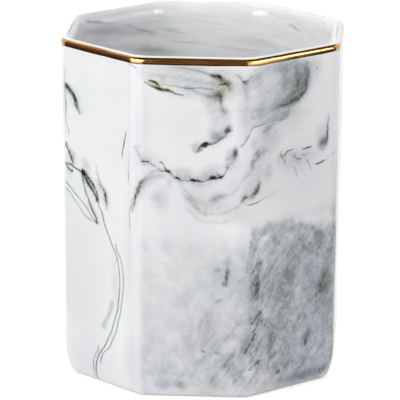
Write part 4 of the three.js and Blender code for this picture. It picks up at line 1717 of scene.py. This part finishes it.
@dataclass
class GiltBand:
    """The gold band over the lip's outer edge, laid by hand and so not quite even."""

    form: CupForm
    low: float = 97.8
    turn: float = 54.0  # how far over the lip it reaches in front, degrees
    back_turn: float = 14.0  # and past the front three faces
    front_end: float = 66.0  # where it starts to narrow, degrees round from the front
    narrowing: float = 12.0  # over how many degrees it does
    swell: float = 0.12  # how far it stands proud in the middle
    lift: float = 0.01  # and all over
    depth: float = 0.2
    low_sway: float = 0.2
    low_sway_length: float = 7.0
    top_sway: float = 4.0  # degrees
    top_sway_length: float = 6.0
    top_sway_start: Triple = (9, 0, 0)  # so that the top doesn't sway as the lower edge does
    outer_steps: int = 14
    inner_shares: tuple[float, ...] = (0.96, 0.6, 0.3, 0.04)

    def build(self) -> bpy.types.Object:
        """Makes the closed band, outer skin first and then back down inside the glaze."""
        outer = [self._ring(share, True) for share in steps(0, 1, self.outer_steps)]
        inner = [self._ring(share, False) for share in self.inner_shares]
        return Loft("gilt_band", outer + inner, closed_section=True).build()

    def dress(self, piece: bpy.types.Object, gold: GoldLustre) -> None:
        """Gives the band its gold."""
        piece.data.materials.append(gold.make())

    def _ring(self, share: float, outer: bool) -> list[Vector]:
        """A ring at a share of the band's height.

        Args:
            share: 0 at the lower edge and 1 at the upper.
            outer: Whether it lies on the outer skin or the inner one.

        Returns:
            Its points.
        """
        form = self.form
        bulge = self.swell * (1 - (2 * share - 1) ** 2) + self.lift
        proud = bulge if outer else -self.depth
        start = form.height - form.lip_outer  # where the lip's edge leaves the wall
        shift = Vector(self.top_sway_start)
        points = []
        for i in range(form.around):
            guide = form.point(i, 0, self.low, form.outer_corner)
            low = self.low + noise.noise(guide / self.low_sway_length) * self.low_sway
            sway = noise.noise(guide / self.top_sway_length + shift) * self.top_sway
            top = start + form.lip_outer * math.radians(self._reach(guide) + sway)
            up = low + share * (top - low)
            if up <= start:
                inset, z = -proud, up
            else:
                inset, z = form.edge_place(proud, (up - start) / form.lip_outer)
            points.append(form.point(i, inset, z, form.outer_corner - inset))
        return points

    def _reach(self, guide: Vector) -> float:
        """How far over the lip the brush went at a place, degrees."""
        azimuth = abs(math.degrees(math.atan2(guide.x, -guide.y)))
        share = min(max((azimuth - self.front_end) / self.narrowing, 0.0), 1.0)
        return self.turn + (self.back_turn - self.turn) * share


# The studio


@dataclass(frozen=True)
class Softbox:
    """A soft lamp that looks at the cup. Azimuth is 0 in front and 90 at the right."""

    name: str
    azimuth: float
    elevation: float
    distance: float  # this and the next two are metres
    width: float
    height: float
    power: float
    lights_surfaces: bool = True
    aim_height: float = 0.06

    def place(self) -> None:
        """Puts the lamp in the scene."""
        lamp = bpy.data.lights.new(self.name, "AREA")
        lamp.shape = "RECTANGLE"
        lamp.size, lamp.size_y, lamp.energy = self.width, self.height, self.power
        thing = put_in_scene(lamp)
        turn, rise = math.radians(self.azimuth), math.radians(self.elevation)
        level = math.cos(rise)
        way = Vector((math.sin(turn) * level, -math.cos(turn) * level, math.sin(rise)))
        thing.location = Vector((0, 0, self.aim_height)) + way * self.distance
        thing.rotation_euler = (-way).to_track_quat("-Z", "Y").to_euler()
        thing.visible_camera = False
        thing.visible_diffuse = self.lights_surfaces


SCREEN_RADIUS = 0.36  # metres, as are the places below
SCREEN_TOP: Place = (SCREEN_RADIUS, 0.75)  # radius and height
SCREEN_MIDDLE: Place = (SCREEN_RADIUS, 0.36)
RIGHT_SCREEN_FOOT: Place = (SCREEN_RADIUS, 0.32)
SCREEN_FOOT: Place = (SCREEN_RADIUS, 0.1)
SKIRT_TOP: Place = (0.33, 0.1)
SKIRT_FOOT: Place = (0.085, 0.003)
STRIPE_TOP: Place = (0.181, 0.041)
STRIPE_FOOT: Place = (0.156, 0.031)
LIP_SCREEN_TOP: Place = (0.2, 0.2)
LIP_SCREEN_FOOT: Place = (0.2, 0.1)
SCREEN_STEPS = 24
CEILING_STEPS = 32

WHITE = grey(1.0)
NEUTRAL_SHADE: Tone = (0.068, 0.066, 0.066, 1.0)
WARM_SHADE: Tone = (0.17, 0.115, 0.08, 1.0)
WARMER_SHADE: Tone = (0.24, 0.16, 0.11, 1.0)
LOW_SHADE: Tone = (0.078, 0.05, 0.038, 1.0)
PALE_SHADE: Tone = (0.22, 0.195, 0.185, 1.0)


def stand_in_studio(mesh: bpy.types.Mesh, shade: Tone) -> None:
    """Puts a screen's mesh in the scene so that only glossy rays meet it.

    Args:
        mesh: The mesh, with the screen's name.
        shade: The colour that it shows.
    """
    material, g = new_material(mesh.name)
    g.surface(g.node("ShaderNodeEmission", {"Color": shade, "Strength": 1.0}))
    mesh.materials.append(material)
    thing = put_in_scene(mesh)
    for ray in ("camera", "diffuse", "transmission", "volume_scatter", "shadow"):
        setattr(thing, f"visible_{ray}", False)


@dataclass(frozen=True)
class Screen:
    """A curved screen that only gloss sees, which gives polished gold its deep tones."""

    name: str
    start: float  # azimuths, degrees
    end: float
    low: Place  # radius and height of its lower edge
    high: Place
    shade: Tone

    def place(self) -> None:
        """Stands the screen round the cup."""
        points, faces = [], []
        for i, azimuth in enumerate(steps(self.start, self.end, SCREEN_STEPS)):
            turn = math.radians(azimuth)
            for radius, height in (self.low, self.high):
                points.append((radius * math.sin(turn), -radius * math.cos(turn), height))
            if i:
                faces.append((2 * i - 2, 2 * i, 2 * i + 1, 2 * i - 1))
        stand_in_studio(mesh_of(self.name, points, faces), self.shade)


LAMPS = (
    Softbox("key softbox", -44, 20, 1.0, 1.2, 0.42, 4.5),
    Softbox("right softbox", 46, 20, 1.1, 0.5, 0.34, 1.5),
    Softbox("gold's strip", 84, 10, 0.8, 0.5, 0.34, 2.1, False),
    Softbox("left kicker", -45, -2, 0.28, 0.22, 0.08, 0.09, False),
    Softbox("right kicker", 50, -2, 0.28, 0.26, 0.08, 0.11, False),
    Softbox("left spark", -36, 21, 0.8, 0.5, 0.16, 1.9, False),
    Softbox("right spark", 66, 21, 0.8, 0.56, 0.16, 2.1, False),
    Softbox("overhead softbox", 0, 90, 1.3, 1.1, 1.1, 7.2),
)

SCREENS = (
    Screen("low left screen", -105, -70, SKIRT_FOOT, SKIRT_TOP, LOW_SHADE),
    Screen("low front screen", -20, 20, SKIRT_FOOT, STRIPE_FOOT, LOW_SHADE),
    Screen("low front stripe", -20, 20, STRIPE_FOOT, STRIPE_TOP, PALE_SHADE),
    Screen("front skirt", -20, 20, STRIPE_TOP, SKIRT_TOP, WARM_SHADE),
    Screen("low right screen", 80, 104, SKIRT_FOOT, SKIRT_TOP, LOW_SHADE),
    Screen("front screen", -12, 16, SCREEN_FOOT, SCREEN_TOP, WARM_SHADE),
    Screen("left screen", -106, -82, SCREEN_FOOT, SCREEN_TOP, WARMER_SHADE),
    Screen("left corner screen", -82, -12, SCREEN_MIDDLE, SCREEN_TOP, NEUTRAL_SHADE),
    Screen("right corner screen", 16, 84, SCREEN_MIDDLE, SCREEN_TOP, NEUTRAL_SHADE),
    Screen("right screen", 84, 165, RIGHT_SCREEN_FOOT, SCREEN_TOP, NEUTRAL_SHADE),
    Screen("inner lip's screen", 87, 97, LIP_SCREEN_FOOT, LIP_SCREEN_TOP, NEUTRAL_SHADE),
)


@dataclass(frozen=True)
class Studio:
    """Floor, surround, lamps and screens."""

    floor_size: float = 6.0
    floor_gap: float = 0.0001
    floor_tone: float = 0.86
    floor_seen: float = 0.55  # the part of the floor's own colour that shows in the shadow
    floor_lift: float = 0.64
    ambient: float = 0.5

    def build(self) -> None:
        """Sets it all up."""
        self._floor()
        self._surround()
        for thing in LAMPS + SCREENS:
            thing.place()
        self._ceiling()

    def _floor(self) -> None:
        """A wide pale floor. The camera and gloss see it as white, apart from the cup's shadow."""
        half = self.floor_size / 2
        square = ((-1, -1), (1, -1), (1, 1), (-1, 1))
        corners = [(x * half, y * half, -self.floor_gap) for x, y in square]
        mesh = mesh_of("floor", corners, [(0, 1, 2, 3)])
        material, g = new_material("floor paper")
        seen = g.seen()
        shade = g.node("ShaderNodeBsdfDiffuse", {"Color": grey(self.floor_seen)})
        lift = g.node("ShaderNodeEmission", {"Color": WHITE, "Strength": self.floor_lift})
        shown = g.node("ShaderNodeAddShader", {0: shade.outputs[0], 1: lift.outputs[0]})
        paper = g.node("ShaderNodeBsdfDiffuse", {"Color": grey(self.floor_tone)})
        choices = {0: seen, 1: paper.outputs[0], 2: shown.outputs[0]}
        g.surface(g.node("ShaderNodeMixShader", choices))
        mesh.materials.append(material)
        put_in_scene(mesh)

    def _surround(self) -> None:
        """White where it is seen, also in gloss, and soft light everywhere else."""
        world = bpy.data.worlds.new("surround")
        bpy.context.scene.world = world
        world.use_nodes = True
        g = Graph(world.node_tree)
        backdrop = world.node_tree.nodes["Background"]
        g.feed(backdrop.inputs["Color"], WHITE)
        strength = g.ease(g.seen(), Ease(0, 1, self.ambient, 1.0, soft=False))
        g.feed(backdrop.inputs["Strength"], strength)

    def _ceiling(self) -> None:
        """The dark screen overhead."""
        radius, height = SCREEN_TOP
        turns = steps(0, 2 * math.pi, CEILING_STEPS)[:-1]
        rim = [(radius * math.cos(turn), radius * math.sin(turn), height) for turn in turns]
        stand_in_studio(mesh_of("overhead screen", rim, [tuple(range(len(rim)))]), NEUTRAL_SHADE)


@dataclass(frozen=True)
class Viewpoint:
    """Where the camera stands, in metres and degrees."""

    turn: float = -3.957
    dip: float = 14.474
    roll: float = 0.284
    distance: float = 1.123
    aim_side: float = -0.00095
    aim_height: float = 0.04873
    lens: float = 345.35  # this and the sensor are millimetres
    sensor: float = 36.0
    clip_end: float = 50.0

    def place(self) -> None:
        """Puts the camera in the scene."""
        lens = bpy.data.cameras.new("camera")
        lens.lens, lens.sensor_width, lens.clip_end = self.lens, self.sensor, self.clip_end
        camera = put_in_scene(lens)
        dip, roll = math.radians(self.dip), math.radians(self.roll)
        forward = Vector((0, math.cos(dip), -math.sin(dip)))
        level, upward = Vector((1, 0, 0)), Vector((0, math.sin(dip), math.cos(dip)))
        right = level * math.cos(roll) + upward * math.sin(roll)
        top = upward * math.cos(roll) - level * math.sin(roll)
        turned = Matrix.Rotation(-math.radians(self.turn), 3, "Z")
        stand = Vector((self.aim_side, 0, self.aim_height)) - forward * self.distance
        axes = Matrix((right, top, -forward)).transposed()
        camera.matrix_world = Matrix.Translation(turned @ stand) @ (turned @ axes).to_4x4()
        bpy.context.scene.camera = camera


def main(frame: dict[str, Any]) -> None:
    """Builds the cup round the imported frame, then the studio and the camera.
    """
    log.info("frame holds %s", ", ".join(frame["nodes"]))
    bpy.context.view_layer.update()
    form, effects = CupForm(), Effects()

    cup = GlazedCup(form)
    body = cup.build()
    cup.dress(body, MarbledGlaze(effects), InnerGlaze(effects))
    join(body, "cup_body")

    foot = FootRing(form)
    ring = foot.build()
    foot.dress(ring, BareClay(effects))
    join(ring, "cup_body")

    gilding = GiltBand(form)
    band = gilding.build()
    gilding.dress(band, GoldLustre(effects))
    join(band, "gilt_rim")

    Studio().build()
    Viewpoint().place()
    bpy.context.scene.view_settings.view_transform = "Standard"


if __name__ == "__main__":
    logging.basicConfig(level=logging.INFO)
    main(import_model())
